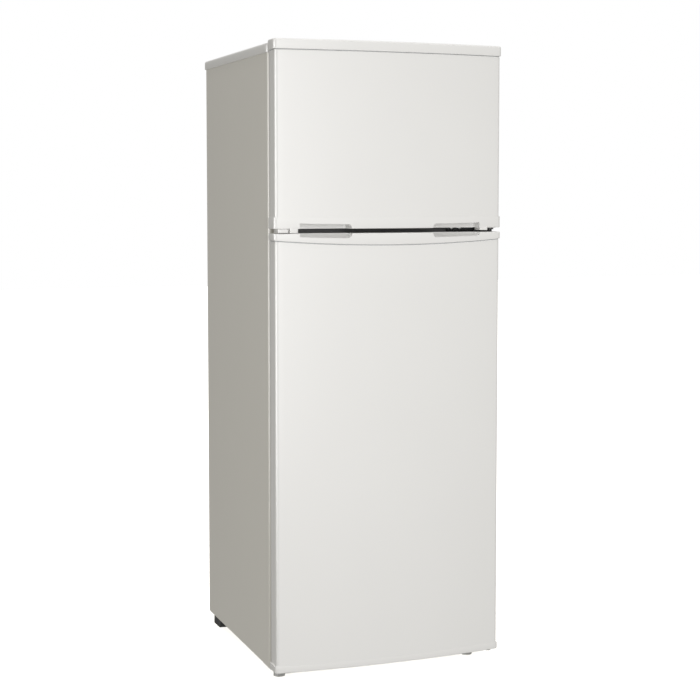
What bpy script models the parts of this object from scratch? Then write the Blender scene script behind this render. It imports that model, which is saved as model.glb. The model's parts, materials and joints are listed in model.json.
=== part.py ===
"""Top freezer refrigerator, about 1.43 m tall: steel cabinet, two doors hinged on the right.

Lengths below are in millimetres and are turned into metres by MM as each mesh is made.
X runs across the front with +X to the viewer's right, Y runs from the doors to the back,
and Z is up from the floor. Y = 0 is the cabinet's front flange while the pieces are made;
the last step slides everything so that the origin is the middle of the footprint.
"""

import math

import bmesh
import bpy
from mathutils import Matrix, Vector

MM = 0.001

# Driving dimensions
HALF_SHELL = 271.5  # half the width over the steel side panels
HALF_TRIM = 274.5  # half the width over the worktop and the door caps
SHELL_DEPTH = 515.0
SHELL_BOTTOM = 22.0
SHELL_TOP = 1403.4
HEIGHT = 1430.0
STEEL = 0.8
GAP = 0.3
CORNER = 9.0  # outer radius of the shell's front corners

WORKTOP_UNDER = 1403.7
WORKTOP_TOP = 1425.5
WORKTOP_BACK = 525.0

DOOR_BACK = -12.0
DOOR_EDGE = -52.0  # front of a door at its left and right edges
CROWN = 16.3  # how far the middle of the door stands in front of its edges
DOOR_CORNER = 9.0
MEETING = 1015.0  # middle of the gap between the two doors
FRIDGE_DOOR_BOTTOM = 24.8
FRIDGE_DOOR_TOP = MEETING - 5.0
FREEZER_DOOR_BOTTOM = MEETING + 5.0
FREEZER_DOOR_TOP = HEIGHT
BOTTOM_CAP_TOP = 40.0
FREEZER_SEAM = MEETING + 26.0
TOP_CAP_UNDER = 1407.0
ARC_ENDS = MEETING - 21.0  # the seam under the fridge door's top cap droops from here
ARC_MIDDLE = MEETING - 31.5

HINGE_X = 256.0
HINGE_Y = -32.0
PIN_R = 4.88
SOCKET_R = 5.0

FREEZER_CAVITY = ((-221.0, 221.0), (0.0, 440.0), (1053.0, 1350.0))
FRIDGE_CAVITY = ((-226.0, 226.0), (0.0, 455.0), (90.0, 965.0))
HUMP_FRONT = 262.0  # the compressor hump inside the fridge compartment
HUMP_TOP = 300.0
LINER = 1.5
RAIL_LOW, RAIL_HIGH = 967.0, 1051.0

BAY_FRONT = 312.0
BAY_TOP = 250.0
BASE_LEVEL = 38.0

GRIP_INNER, GRIP_OUTER = 98.0, 218.0
GRIP_LOW, GRIP_HIGH = MEETING - 16.5, MEETING + 15.0
LOWER_GRIP_BACK = -42.0
UPPER_GRIP_BACK = -30.0

WHITE = ((0.86, 0.86, 0.84), 0.32, 0.0)
TRIM_WHITE = ((0.84, 0.84, 0.82), 0.42, 0.0)
LINER_WHITE = ((0.90, 0.91, 0.90), 0.35, 0.0)
GASKET_GREY = ((0.72, 0.72, 0.70), 0.60, 0.0)
FOAM_TAN = ((0.80, 0.70, 0.45), 0.90, 0.0)
GALVANISED = ((0.60, 0.61, 0.61), 0.45, 0.3)
ZINC = ((0.62, 0.63, 0.64), 0.38, 1.0)
BLACK_STEEL = ((0.03, 0.03, 0.03), 0.45, 0.0)
BLACK_PLASTIC = ((0.02, 0.02, 0.02), 0.55, 0.0)
RUBBER = ((0.03, 0.03, 0.03), 0.85, 0.0)
COPPER = ((0.72, 0.40, 0.25), 0.35, 1.0)
ALUMINIUM = ((0.75, 0.76, 0.77), 0.40, 1.0)
GLASS = ((0.75, 0.85, 0.82), 0.05, 0.0)
CLEAR_PLASTIC = ((0.80, 0.86, 0.88), 0.12, 0.0)
FOOT_GREY = ((0.55, 0.55, 0.54), 0.50, 0.0)

for old in list(bpy.data.objects):
    bpy.data.objects.remove(old)

PARTS = bpy.data.collections.new("top_freezer_refrigerator")
CUTTERS = bpy.data.collections.new("cutters")
bpy.context.scene.collection.children.link(PARTS)
bpy.context.scene.collection.children.link(CUTTERS)


def material(name, look):
    colour, roughness, metallic = look
    made = bpy.data.materials.new(name)
    made.use_nodes = True
    shader = made.node_tree.nodes["Principled BSDF"]
    shader.inputs["Base Color"].default_value = (*colour, 1.0)
    shader.inputs["Roughness"].default_value = roughness
    shader.inputs["Metallic"].default_value = metallic
    return made


def place(obj, look):
    """Links a sub-part with its own material, or a cutter when it has no look."""
    if look is None:
        CUTTERS.objects.link(obj)
        obj.hide_render = True
        obj.display_type = "WIRE"
    else:
        PARTS.objects.link(obj)
        obj.data.materials.append(material(obj.name, look))
    return obj


def mesh_object(name, bm, look, at=(0.0, 0.0, 0.0)):
    mesh = bpy.data.meshes.new(name)
    bm.to_mesh(mesh)
    bm.free()
    obj = bpy.data.objects.new(name, mesh)
    obj.location = Vector(at) * MM
    return place(obj, look)


def bevel(obj, width, segments=2, angle=40.0):
    made = obj.modifiers.new("edges", "BEVEL")
    made.width = width * MM
    made.segments = segments
    made.limit_method = "ANGLE"
    made.angle_limit = math.radians(angle)
    return obj


def box(name, x, y, z, look=None, round_by=0.0, segments=2):
    bm = bmesh.new()
    bmesh.ops.create_cube(bm, size=1.0)
    size = [(high - low) * MM for low, high in (x, y, z)]
    bmesh.ops.scale(bm, vec=size, verts=bm.verts)
    middle = [(low + high) / 2 for low, high in (x, y, z)]
    obj = mesh_object(name, bm, look, middle)
    return bevel(obj, round_by, segments) if round_by else obj


def cylinder(name, at, radius, low, high, axis="Z", look=None, sides=24, top_radius=None):
    """A round bar along an axis through `at`, from low to high measured along that axis."""
    bm = bmesh.new()
    bmesh.ops.create_cone(
        bm,
        cap_ends=True,
        segments=sides,
        radius1=radius * MM,
        radius2=(radius if top_radius is None else top_radius) * MM,
        depth=(high - low) * MM,
    )
    turn = {"X": ("Y", 90), "Y": ("X", -90), "Z": ("Z", 0)}[axis]
    bmesh.ops.transform(bm, matrix=Matrix.Rotation(math.radians(turn[1]), 4, turn[0]), verts=bm.verts)
    middle = list(at)
    middle["XYZ".index(axis)] = (low + high) / 2
    return mesh_object(name, bm, look, middle)


def outline(name, points, low, high, axis="Z", look=None):
    """A filled flat outline with thickness, as a mesh. Points are (x, y), (y, z) or (x, z)."""
    curve = bpy.data.curves.new(name + "_outline", "CURVE")
    curve.dimensions = "2D"
    curve.fill_mode = "BOTH"
    curve.extrude = (high - low) * MM / 2
    spline = curve.splines.new("POLY")
    spline.points.add(len(points) - 1)
    for point, (u, v) in zip(spline.points, points):
        point.co = (u * MM, v * MM, 0.0, 1.0)
    spline.use_cyclic_u = True
    guide = bpy.data.objects.new(name + "_guide", curve)
    bpy.context.scene.collection.objects.link(guide)
    middle = (low + high) / 2 * MM
    if axis == "Z":
        guide.location = (0.0, 0.0, middle)
    elif axis == "X":
        guide.rotation_euler = (math.pi / 2, 0.0, math.pi / 2)
        guide.location = (middle, 0.0, 0.0)
    else:
        guide.rotation_euler = (math.pi / 2, 0.0, 0.0)
        guide.location = (0.0, middle, 0.0)
    return solid_from_curve(guide, name, look)


def solid_from_curve(guide, name, look):
    """Replaces a curve object with a welded mesh in the same place."""
    bpy.context.view_layer.update()
    graph = bpy.context.evaluated_depsgraph_get()
    mesh = bpy.data.meshes.new_from_object(guide.evaluated_get(graph))
    bm = bmesh.new()
    bm.from_mesh(mesh)
    bmesh.ops.remove_doubles(bm, verts=bm.verts, dist=0.00001)
    bmesh.ops.recalc_face_normals(bm, faces=bm.faces)
    bm.to_mesh(mesh)
    bm.free()
    mesh.name = name
    mesh.materials.clear()
    obj = bpy.data.objects.new(name, mesh)
    obj.matrix_world = guide.matrix_world.copy()
    curve = guide.data
    bpy.data.objects.remove(guide)
    bpy.data.curves.remove(curve)
    return place(obj, look)


def sheet(name, path, low, high, axis, look, thickness=STEEL):
    """Bent sheet metal: an open path drawn along an axis, thickened away from its outer face.

    The outer face is on the right of the path for axis Z seen from above.
    """
    frames = {
        "Z": (Vector((1, 0, 0)), Vector((0, 1, 0)), Vector((0, 0, 1))),
        "X": (Vector((0, 1, 0)), Vector((0, 0, 1)), Vector((1, 0, 0))),
    }
    u_axis, v_axis, along = frames[axis]
    bm = bmesh.new()
    verts = [bm.verts.new((u_axis * u + v_axis * v + along * low) * MM) for u, v in path]
    edges = [bm.edges.new(pair) for pair in zip(verts, verts[1:])]
    drawn = bmesh.ops.extrude_edge_only(bm, edges=edges)["geom"]
    moved = [part for part in drawn if isinstance(part, bmesh.types.BMVert)]
    bmesh.ops.translate(bm, vec=along * (high - low) * MM, verts=moved)
    bm.normal_update()
    bm.faces.ensure_lookup_table()
    first = u_axis * (path[1][0] - path[0][0]) + v_axis * (path[1][1] - path[0][1])
    begin = (verts[0].co + verts[1].co) / 2
    start = min(bm.faces, key=lambda face: (face.calc_center_median() - begin).length)
    if start.normal.dot(first.cross(along)) < 0:
        bmesh.ops.reverse_faces(bm, faces=bm.faces)
    obj = mesh_object(name, bm, look)
    skin = obj.modifiers.new("sheet", "SOLIDIFY")
    skin.thickness = thickness * MM
    skin.offset = -1.0
    skin.use_even_offset = True
    return obj


def tube(name, points, radius, look, resolution=1):
    curve = bpy.data.curves.new(name, "CURVE")
    curve.dimensions = "3D"
    curve.bevel_depth = radius * MM
    curve.bevel_resolution = resolution
    curve.use_fill_caps = True
    spline = curve.splines.new("POLY")
    spline.points.add(len(points) - 1)
    for point, co in zip(spline.points, points):
        point.co = (*(value * MM for value in co), 1.0)
    obj = bpy.data.objects.new(name, curve)
    return place(obj, look)


def rounded_route(corners, radius, steps=4):
    """Points along straight runs with each corner replaced by an arc-like bend."""
    route = [Vector(corners[0])]
    for before, here, after in zip(corners, corners[1:], corners[2:]):
        before, here, after = Vector(before), Vector(here), Vector(after)
        into = (here - before).normalized()
        out = (after - here).normalized()
        reach = min(radius, (here - before).length / 2.1, (after - here).length / 2.1)
        start, end = here - into * reach, here + out * reach
        for step in range(steps + 1):
            t = step / steps
            route.append(start * (1 - t) ** 2 + here * 2 * t * (1 - t) + end * t * t)
    route.append(Vector(corners[-1]))
    return [tuple(point) for point in route]


def boolean(obj, other, operation):
    made = obj.modifiers.new(operation.lower(), "BOOLEAN")
    made.operation = operation
    made.object = other
    made.solver = "EXACT"
    return obj


def cut(obj, *cutters):
    for other in cutters:
        boolean(obj, other, "DIFFERENCE")
    return obj


def join(obj, *others):
    for other in others:
        boolean(obj, other, "UNION")
    return obj


def arc(centre, radius, start, end, steps):
    """Points on a circle from start to end degrees."""
    found = []
    for step in range(steps + 1):
        angle = math.radians(start + (end - start) * step / steps)
        found.append((centre[0] + radius * math.cos(angle), centre[1] + radius * math.sin(angle)))
    return found


def door_front(x, half, out=0.0):
    return DOOR_EDGE - out - CROWN * (1 - (x / half) ** 2)


def door_path(half, back, out=0.0, inset=0.0, crown_steps=12):
    """The door's plan from its back left edge round the crowned front to its back right edge."""
    reach = half - inset
    front_out = out - inset
    radius = max(DOOR_CORNER - inset, 2.0)
    corner_x = reach - radius
    corner_y = door_front(corner_x, half, front_out) + radius
    left = arc((-corner_x, corner_y), radius, 180, 266, 5)
    right = [(-x, y) for x, y in reversed(left)]
    crown = []
    for step in range(1, crown_steps):
        x = -corner_x + 2 * corner_x * step / crown_steps
        crown.append((x, door_front(x, half, front_out)))
    return [(-reach, back)] + left + crown + right + [(reach, back)]


def seam_level(x, lift=0.0):
    """Height of the drooping seam under the fridge door's top cap."""
    return ARC_MIDDLE + lift + (ARC_ENDS - ARC_MIDDLE) * (x / HALF_SHELL) ** 2


def seam_outline(limit, lift):
    """Everything between the drooping seam and a level above or below it, as an X-Z outline."""
    reach = HALF_TRIM + 6
    seam = []
    for step in range(17):
        x = -reach + 2 * reach * step / 16
        seam.append((x, seam_level(x, lift)))
    return seam + [(reach, limit), (-reach, limit)]


# Cabinet shell


def side_panel(name, side):
    back = SHELL_DEPTH
    corner = arc((HALF_SHELL - CORNER, CORNER), CORNER, 0, -90, 6)
    path = [(HALF_SHELL - 14, back), (HALF_SHELL, back)] + corner + [(HALF_SHELL - 35.5, 0.0)]
    if side < 0:
        path = [(-x, y) for x, y in path]
    else:
        path = path[::-1]
    return sheet(name, path, SHELL_BOTTOM, SHELL_TOP, "Z", WHITE)


side_panel("side_panel_left", -1)
side_panel("side_panel_right", 1)

inner_half = HALF_SHELL - STEEL - GAP
box(
    "top_panel",
    (-inner_half, inner_half),
    (CORNER + 1, SHELL_DEPTH - STEEL - GAP),
    (SHELL_TOP - STEEL, SHELL_TOP),
    WHITE,
)
back_face = SHELL_DEPTH - STEEL - GAP
box(
    "back_panel",
    (-inner_half, inner_half),
    (back_face - STEEL, back_face),
    (BAY_TOP + GAP, SHELL_TOP - STEEL - GAP),
    GALVANISED,
)
bay_path = [
    (CORNER + 1, BASE_LEVEL),
    (BAY_FRONT, BASE_LEVEL),
    (BAY_FRONT, BAY_TOP - 25),
    (BAY_FRONT + 25, BAY_TOP),
    (back_face, BAY_TOP),
]
sheet("base_panel", bay_path[::-1], -inner_half, inner_half, "X", GALVANISED)

rail_half = HALF_SHELL - 35.5 - GAP
for rail_name, low, high in (
    ("top_rail", 1362.0, SHELL_TOP - STEEL - GAP),
    ("center_rail", RAIL_LOW, RAIL_HIGH),
    ("base_rail", SHELL_BOTTOM + 1, 78.0),
):
    rail = box(rail_name, (-rail_half, rail_half), (0.0, STEEL), (low, high), WHITE)
    if rail_name == "base_rail":
        join(rail, box("base_rail_lip", (-rail_half, rail_half), (0.0, 6.0), (low, low + STEEL)))

# Insulation between the shell and the liners

foam_side = inner_half - GAP
foam_back = back_face - STEEL - 6.0
foam_section = [
    (STEEL + LINER + 3 * GAP, BASE_LEVEL + GAP),
    (BAY_FRONT - STEEL - GAP, BASE_LEVEL + GAP),
    (BAY_FRONT - STEEL - GAP, BAY_TOP - 24),
    (BAY_FRONT + 24, BAY_TOP + STEEL + GAP),
    (foam_back, BAY_TOP + STEEL + GAP),
    (foam_back, SHELL_TOP - STEEL - GAP),
    (STEEL + LINER + 3 * GAP, SHELL_TOP - STEEL - GAP),
]
foam = outline("cabinet_foam", foam_section, -foam_side, foam_side, "X", FOAM_TAN)


def cavity_section(grow):
    """Side view of the fridge compartment with its compressor hump, grown by a distance."""
    (_, (_, back), (low, high)) = FRIDGE_CAVITY
    return [
        (-20.0, low - grow),
        (HUMP_FRONT + grow, low - grow),
        (HUMP_FRONT + grow, HUMP_TOP - grow),
        (back + grow, HUMP_TOP - grow),
        (back + grow, high + grow),
        (-20.0, high + grow),
    ]


def grown(space, by, front=-20.0):
    x, y, z = space
    return (x[0] - by, x[1] + by), (front, y[1] + by), (z[0] - by, z[1] + by)


outer = LINER + GAP
freezer_hole = box("freezer_hole", *grown(FREEZER_CAVITY, outer))
fridge_hole = outline(
    "fridge_hole",
    cavity_section(outer),
    FRIDGE_CAVITY[0][0] - outer,
    FRIDGE_CAVITY[0][1] + outer,
    "X",
)
cut(foam, freezer_hole, fridge_hole)
for side, sign in (("left", -1), ("right", 1)):
    x = tuple(sorted((sign * 262.0, sign * 280.0)))
    cut(foam, box(f"foam_corner_{side}", x, (-5.0, CORNER + 1.5), (0.0, HEIGHT)))

# Liners: a flange behind the steel face, the pocket itself, and ledges for the shelves

liner_front = STEEL + GAP
freezer_x, freezer_y, freezer_z = grown(FREEZER_CAVITY, LINER, liner_front)
freezer_liner = box("freezer_liner", freezer_x, freezer_y, freezer_z, LINER_WHITE)
freezer_flange = box(
    "freezer_liner_flange",
    (-240.0, 240.0),
    (liner_front, liner_front + LINER),
    (freezer_z[0] - 12, freezer_z[1] + 14),
)
join(freezer_liner, freezer_flange)
cut(freezer_liner, box("freezer_space", *grown(FREEZER_CAVITY, 0.0)))

(fridge_left, fridge_right), (_, fridge_back), (fridge_floor, fridge_ceiling) = FRIDGE_CAVITY
fridge_liner = outline(
    "fridge_liner",
    [(max(y, liner_front), z) for y, z in cavity_section(LINER)],
    fridge_left - LINER,
    fridge_right + LINER,
    "X",
    LINER_WHITE,
)
fridge_flange = box(
    "fridge_liner_flange",
    (-240.0, 240.0),
    (liner_front, liner_front + LINER),
    (fridge_floor - 14, fridge_ceiling + 12),
)
join(fridge_liner, fridge_flange)
cut(fridge_liner, outline("fridge_space", cavity_section(0.0), fridge_left, fridge_right, "X"))

SHELF_LEVELS = (500.0, 700.0)
LEDGE_REACH = 12.0


def ledges(liner, name, space, level, front, back):
    """A pair of moulded ledges that a shelf slides onto."""
    (left, right), _, _ = space
    for side, wall in (("left", left), ("right", right)):
        inner = wall + LEDGE_REACH if wall < 0 else wall - LEDGE_REACH
        x = (wall - 1, inner) if wall < 0 else (inner, wall + 1)
        join(liner, box(f"{name}_{side}", x, (front, back), (level - 8, level)))


for number, level in enumerate(SHELF_LEVELS):
    ledges(fridge_liner, f"ledge_{number}", FRIDGE_CAVITY, level, 110.0, 430.0)
ledges(fridge_liner, "crisper_ledge", FRIDGE_CAVITY, HUMP_TOP + 2, 100.0, 250.0)
ledges(freezer_liner, "freezer_ledge", FREEZER_CAVITY, 1190.0, 90.0, 400.0)

# Shelves

for name, level in (("shelf_lower", SHELF_LEVELS[0]), ("shelf_upper", SHELF_LEVELS[1])):
    box(name, (-225.2, 225.2), (105.0, 440.0), (level + GAP, level + 4.5), GLASS)
box(
    "crisper_cover",
    (-225.2, 225.2),
    (95.0, 440.0),
    (HUMP_TOP + 2 + GAP, HUMP_TOP + 6.5),
    GLASS,
)
box("freezer_shelf", (-220.2, 220.2), (85.0, 425.0), (1190 + GAP, 1194.0), ALUMINIUM)

# Crisper drawer in front of the compressor hump

drawer = box("crisper_drawer", (-205.0, 205.0), (112.0, 252.0), (90.3, 284.0), CLEAR_PLASTIC)
cut(drawer, box("crisper_space", (-202.5, 202.5), (114.5, 249.5), (93.5, 300.0)))
join(drawer, box("crisper_rim", (-209.0, 209.0), (108.0, 112.5), (240.0, 284.0)))

# Cold plate, and one box on the right wall for the thermostat and the door switch

SWITCH_X, SWITCH_Z = 207.0, 850.0

cold_plate = box("evaporator_plate", (-170.0, 170.0), (452.2, 454.7), (560.0, 930.0), ALUMINIUM)
bevel(cold_plate, 0.8, 1)

control_box = box("thermostat_housing", (200.0, 225.7), (42.0, 340.0), (838.0, 902.0), LINER_WHITE)
knob = cylinder(
    "thermostat_knob", (0, 165.0, 870.0), 17.0, 186.0, 199.7, "X", LINER_WHITE, 24
)
knob_grip = box("knob_grip", (182.0, 188.0), (162.5, 167.5), (856.0, 884.0))
join(knob, knob_grip)
cut(control_box, cylinder("plunger_way", (SWITCH_X, 0, SWITCH_Z), 3.4, 30.0, 80.0, "Y"))
bevel(control_box, 1.5, 1, 60)

# Worktop

worktop = box(
    "worktop",
    (-HALF_TRIM, HALF_TRIM),
    (0.0, WORKTOP_BACK),
    (WORKTOP_UNDER, WORKTOP_TOP),
    TRIM_WHITE,
    6.0,
    3,
)
cut(
    worktop,
    box("hinge_notch", (238.0, 264.0), (-6.0, 14.0), (WORKTOP_UNDER - 2, 1417.0)),
    box("bracket_notch", (205.4, 268.6), (-6.0, 60.6), (WORKTOP_UNDER - 2, 1406.8)),
)

# Doors


def slab(name, low, high, look, half=HALF_SHELL, out=0.0, inset=0.0, back=DOOR_BACK):
    return outline(name, door_path(half, back, out, inset), low, high, "Z", look)


def door_skin(name, low, high):
    path = door_path(HALF_SHELL, DOOR_BACK)
    hemmed = [(-HALF_SHELL + 14, DOOR_BACK)] + path + [(HALF_SHELL - 14, DOOR_BACK)]
    return sheet(name, hemmed, low, high, "Z", WHITE)


def door_foam(name, low, high):
    inset = STEEL + GAP
    return slab(name, low + GAP, high - GAP, FOAM_TAN, inset=inset, back=DOOR_BACK - inset)


def cap(name, low, high):
    made = slab(name, low, high, TRIM_WHITE, half=HALF_TRIM, out=1.0)
    return bevel(made, 2.0, 2, 60)


def grips(name, obj, reach_up):
    """A pair of scooped finger grips with an undercut behind the front edge."""
    for side in (-1, 1):
        level = GRIP_HIGH if reach_up else GRIP_LOW
        away = 1 if reach_up else -1
        back = UPPER_GRIP_BACK if reach_up else LOWER_GRIP_BACK
        inner, outer_end, radius = side * GRIP_INNER, side * GRIP_OUTER, 8.0
        bend = []
        for step in range(5):
            angle = math.radians(90 * step / 4)
            bend.append(
                (
                    inner + side * radius * (1 - math.cos(angle)),
                    level - away * radius * (1 - math.sin(angle)),
                )
            )
        points = [(outer_end, MEETING), (inner, MEETING)] + bend + [(outer_end, level)]
        end = "left" if side < 0 else "right"
        scoop = outline(f"{name}_scoop_{end}", points, -80.0, back, "Y")
        hook = box(
            f"{name}_hook_{end}",
            tuple(sorted((inner + side * 9, outer_end - side * 1.5))),
            (-54.0, back + 0.5),
            (MEETING - 5, MEETING + 21) if reach_up else (MEETING - 19, MEETING - 1),
        )
        cut(obj, scoop, hook)


def socket(obj, name, low, high):
    cut(obj, cylinder(name, (HINGE_X, HINGE_Y, 0), SOCKET_R, low, high))


def door_liner(name, low, high, space, depth):
    """The inner panel of a door: a flat plate with a raised ring that enters the compartment."""
    back = DOOR_BACK + GAP
    floor, ceiling = space[2][0] + 8, space[2][1] - 8
    plate = box(name, (-262.0, 262.0), (back, back + LINER), (low, high), LINER_WHITE)
    ring = box(name + "_ring", (-212.0, 212.0), (back + 0.5, depth), (floor, ceiling))
    room = box(
        name + "_room",
        (-200.0, 200.0),
        (back + LINER, depth + 20),
        (floor + 12, ceiling - 12),
    )
    return cut(join(plate, ring), room)


def gasket(name, low, high):
    reach, width = 254.0, 17.0
    y = (DOOR_BACK + 2 * GAP + LINER, -GAP)
    ring = box(name, (-reach, reach), y, (low, high), GASKET_GREY)
    hole = box(
        name + "_hole",
        (-reach + width, reach - width),
        (y[0] - 5, y[1] + 5),
        (low + width, high - width),
    )
    return cut(ring, hole)


def bin_tray(name, y, low, height, wall=2.4):
    """An open rack for bottles or packets that hangs between the sides of the liner's ring."""
    x = (-199.7, 199.7)
    tray = box(name, x, y, (low, low + height), CLEAR_PLASTIC)
    room = box(
        name + "_room",
        (x[0] + wall, x[1] - wall),
        (y[0] + wall, y[1] - wall),
        (low + wall, low + height + 20),
    )
    dip = box(name + "_dip", (x[0] - 5, x[1] + 5), (y[0] - 9, y[0] + 26), (low + 30, low + height + 20))
    return cut(tray, room, dip)


# Freezer door
freezer_skin = door_skin("freezer_door_skin", FREEZER_SEAM + GAP, TOP_CAP_UNDER - GAP)
freezer_foam = door_foam("freezer_door_foam", FREEZER_SEAM, TOP_CAP_UNDER)
freezer_top = cap("freezer_door_top_cap", TOP_CAP_UNDER, FREEZER_DOOR_TOP)
join(
    freezer_top,
    cylinder("hinge_boss", (HINGE_X, HINGE_Y, 0), 10.0, 1392.0, TOP_CAP_UNDER + 2),
)
RECESS_FLOOR = 1411.0
cut(
    freezer_top,
    box("hinge_recess", (241.0, 290.0), (HINGE_Y - 17.5, 0.0), (RECESS_FLOOR, HEIGHT + 10)),
)
socket(freezer_top, "top_socket", 1394.0, RECESS_FLOOR + 2)
cut(freezer_foam, cylinder("boss_room", (HINGE_X, HINGE_Y, 0), 10.5, 1390.0, 1410.0))
freezer_bottom = cap("freezer_door_bottom_cap", FREEZER_DOOR_BOTTOM, FREEZER_SEAM)
grips("freezer", freezer_bottom, True)
for side, pad_low in ((-1, MEETING - 4.0), (1, MEETING - 0.7)):
    pad_x = tuple(sorted((side * 220.0, side * 239.0)))
    pad_name = "stop_pad_left" if side < 0 else "stop_pad_right"
    join(freezer_bottom, box(pad_name, pad_x, (-57.0, -24.0), (pad_low, FREEZER_DOOR_BOTTOM + 2)))
socket(freezer_bottom, "freezer_socket", MEETING + 3, MEETING + 21)
plug_hole = cylinder("plug_hole", (-HINGE_X, HINGE_Y, 0), SOCKET_R, MEETING + 3, MEETING + 19)
cut(freezer_bottom, plug_hole)
plug = cylinder(
    "hinge_hole_plug", (-HINGE_X, HINGE_Y, 0), 4.6, MEETING + 4, MEETING + 15, look=TRIM_WHITE
)
plug_levels = (MEETING - 3.4, FREEZER_DOOR_BOTTOM - GAP)
join(plug, box("plug_head", (-266.0, -241.0), (-56.0, -22.0), plug_levels))
door_liner("freezer_door_liner", FREEZER_DOOR_BOTTOM + 8, 1398.0, FREEZER_CAVITY, 24.0)
gasket("freezer_door_gasket", FREEZER_DOOR_BOTTOM + 11, 1394.0)
bin_tray("freezer_door_rack", (-7.9, 58.0), 1090.0, 75.0)

# Fridge door
fridge_skin = door_skin("fridge_door_skin", BOTTOM_CAP_TOP + GAP, ARC_ENDS + 6)
cut(fridge_skin, outline("skin_seam", seam_outline(1100.0, -GAP), -90.0, 20.0, "Y"))
fridge_foam = door_foam("fridge_door_foam", BOTTOM_CAP_TOP, ARC_ENDS + 6)
cut(fridge_foam, outline("foam_seam", seam_outline(1100.0, -GAP), -90.0, 20.0, "Y"))
fridge_top = cap("fridge_door_top_cap", ARC_MIDDLE - 6, FRIDGE_DOOR_TOP)
cut(fridge_top, outline("cap_seam", seam_outline(900.0, 0.0), -90.0, 20.0, "Y"))
grips("fridge", fridge_top, False)
socket(fridge_top, "fridge_socket", MEETING - 18, MEETING - 1)
fridge_bottom = cap("fridge_door_bottom_cap", FRIDGE_DOOR_BOTTOM, BOTTOM_CAP_TOP)
socket(fridge_bottom, "base_socket", 20.0, 37.0)
door_liner("fridge_door_liner", 33.0, FRIDGE_DOOR_TOP - 9, FRIDGE_CAVITY, 34.0)
gasket("fridge_door_gasket", 36.0, FRIDGE_DOOR_TOP - 11)
bin_tray("fridge_door_bin_lower", (-7.9, 82.0), 140.0, 95.0)
bin_tray("fridge_door_bin_upper", (-7.9, 72.0), 590.0, 75.0)

# Hinges: each bracket is one bent steel piece with its pin


def leaf_plan(reach_back):
    tip = arc((HINGE_X, HINGE_Y), 8.5, 180, 360, 8)
    return [(HINGE_X - 8.5, reach_back)] + tip + [(HINGE_X + 8.5, reach_back)]


top_hinge = box("top_hinge_bracket", (206.0, 268.0), (6.0, 60.0), (1403.7, 1406.5), ZINC)
join(
    top_hinge,
    box("top_riser", (HINGE_X - 7, HINGE_X + 7), (4.0, 7.0), (1404.5, 1414.6)),
    outline(
        "top_leaf",
        [(HINGE_X - 7, 7.0), (HINGE_X - 7, HINGE_Y)]
        + arc((HINGE_X, HINGE_Y), 7.0, 180, 360, 8)
        + [(HINGE_X + 7, 7.0)],
        1412.0,
        1414.8,
        "Z",
    ),
    cylinder("top_pin", (HINGE_X, HINGE_Y, 0), PIN_R, 1396.0, 1413.0),
)
cut(top_hinge, box("riser_edge", (230.0, 249.0), (-20.0, 6.0), (1400.0, 1411.0)))

MIDDLE_LEAF = (MEETING - 4.1, MEETING - 1.1)
plate_levels = (MEETING - 12.5, MEETING + 12.0)
middle_hinge = box("middle_hinge_bracket", (158.0, 266.0), (-3.2, -GAP), plate_levels, ZINC)
join(
    middle_hinge,
    outline("middle_leaf", leaf_plan(-1.0), *MIDDLE_LEAF, "Z"),
    cylinder("middle_pin", (HINGE_X, HINGE_Y, 0), PIN_R, MEETING - 16, MEETING + 18),
)
spacer = cylinder(
    "middle_hinge_spacer",
    (HINGE_X, HINGE_Y, 0),
    12.5,
    MIDDLE_LEAF[1] + GAP,
    FREEZER_DOOR_BOTTOM - 0.4,
    look=TRIM_WHITE,
    sides=32,
)
cut(spacer, cylinder("spacer_bore", (HINGE_X, HINGE_Y, 0), SOCKET_R, MEETING - 5, MEETING + 7))
for number, x in enumerate((172.0, 192.0)):
    cylinder(f"middle_hinge_screw_{number + 1}", (x, 0, MEETING), 4.6, -6.4, -3.5, "Y", ZINC, 16)
blank_levels = (MEETING - 7, MEETING + 7)
box("rail_blank_plate", (-250.0, -206.0), (-3.0, -GAP), blank_levels, TRIM_WHITE, 0.8, 1)

LEAF_LOW, LEAF_HIGH = 18.7, 21.7
FOOT_HOLE = 4.0


def base_bracket(name, x, leaf=None):
    """A flat steel foot carrier under the shell's front corner."""
    made = box(name, x, (-1.0, 60.0), (LEAF_LOW, LEAF_HIGH), ZINC)
    if leaf is not None:
        join(made, leaf)
    return made


hinge_leaf = outline("base_leaf", leaf_plan(3.0), LEAF_LOW, LEAF_HIGH, "Z")
bottom_hinge = base_bracket("bottom_hinge_bracket", (200.0, 269.0), hinge_leaf)
join(bottom_hinge, cylinder("base_pin", (HINGE_X, HINGE_Y, 0), PIN_R, LEAF_LOW + 1, 34.5))
blank_leaf = box("blank_leaf", (-262.0, -205.0), (-38.0, 3.0), (LEAF_LOW, LEAF_HIGH))
foot_bracket = base_bracket("foot_bracket_left", (-269.0, -200.0), blank_leaf)

for side, name, bracket, at in (
    ("left", "front_foot_left", foot_bracket, (-245.0, 12.0)),
    ("right", "front_foot_right", bottom_hinge, (222.0, 12.0)),
):
    cut(bracket, cylinder(f"{side}_stud_way", (*at, 0), FOOT_HOLE, 0.0, 40.0, sides=32))
    foot = cylinder(name, (*at, 0), 13.5, 0.0, 10.5, look=FOOT_GREY, sides=32, top_radius=12.5)
    join(foot, cylinder(f"{name}_stud", (*at, 0), 3.9, 9.0, 35.0, sides=32))

for side, sign in (("left", -1), ("right", 1)):
    x = tuple(sorted((sign * 244.0, sign * 270.0)))
    box(f"rear_foot_{side}", x, (426.0, 478.0), (0.0, 26.7), RUBBER, 2.0, 1)

# Compressor bay

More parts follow.
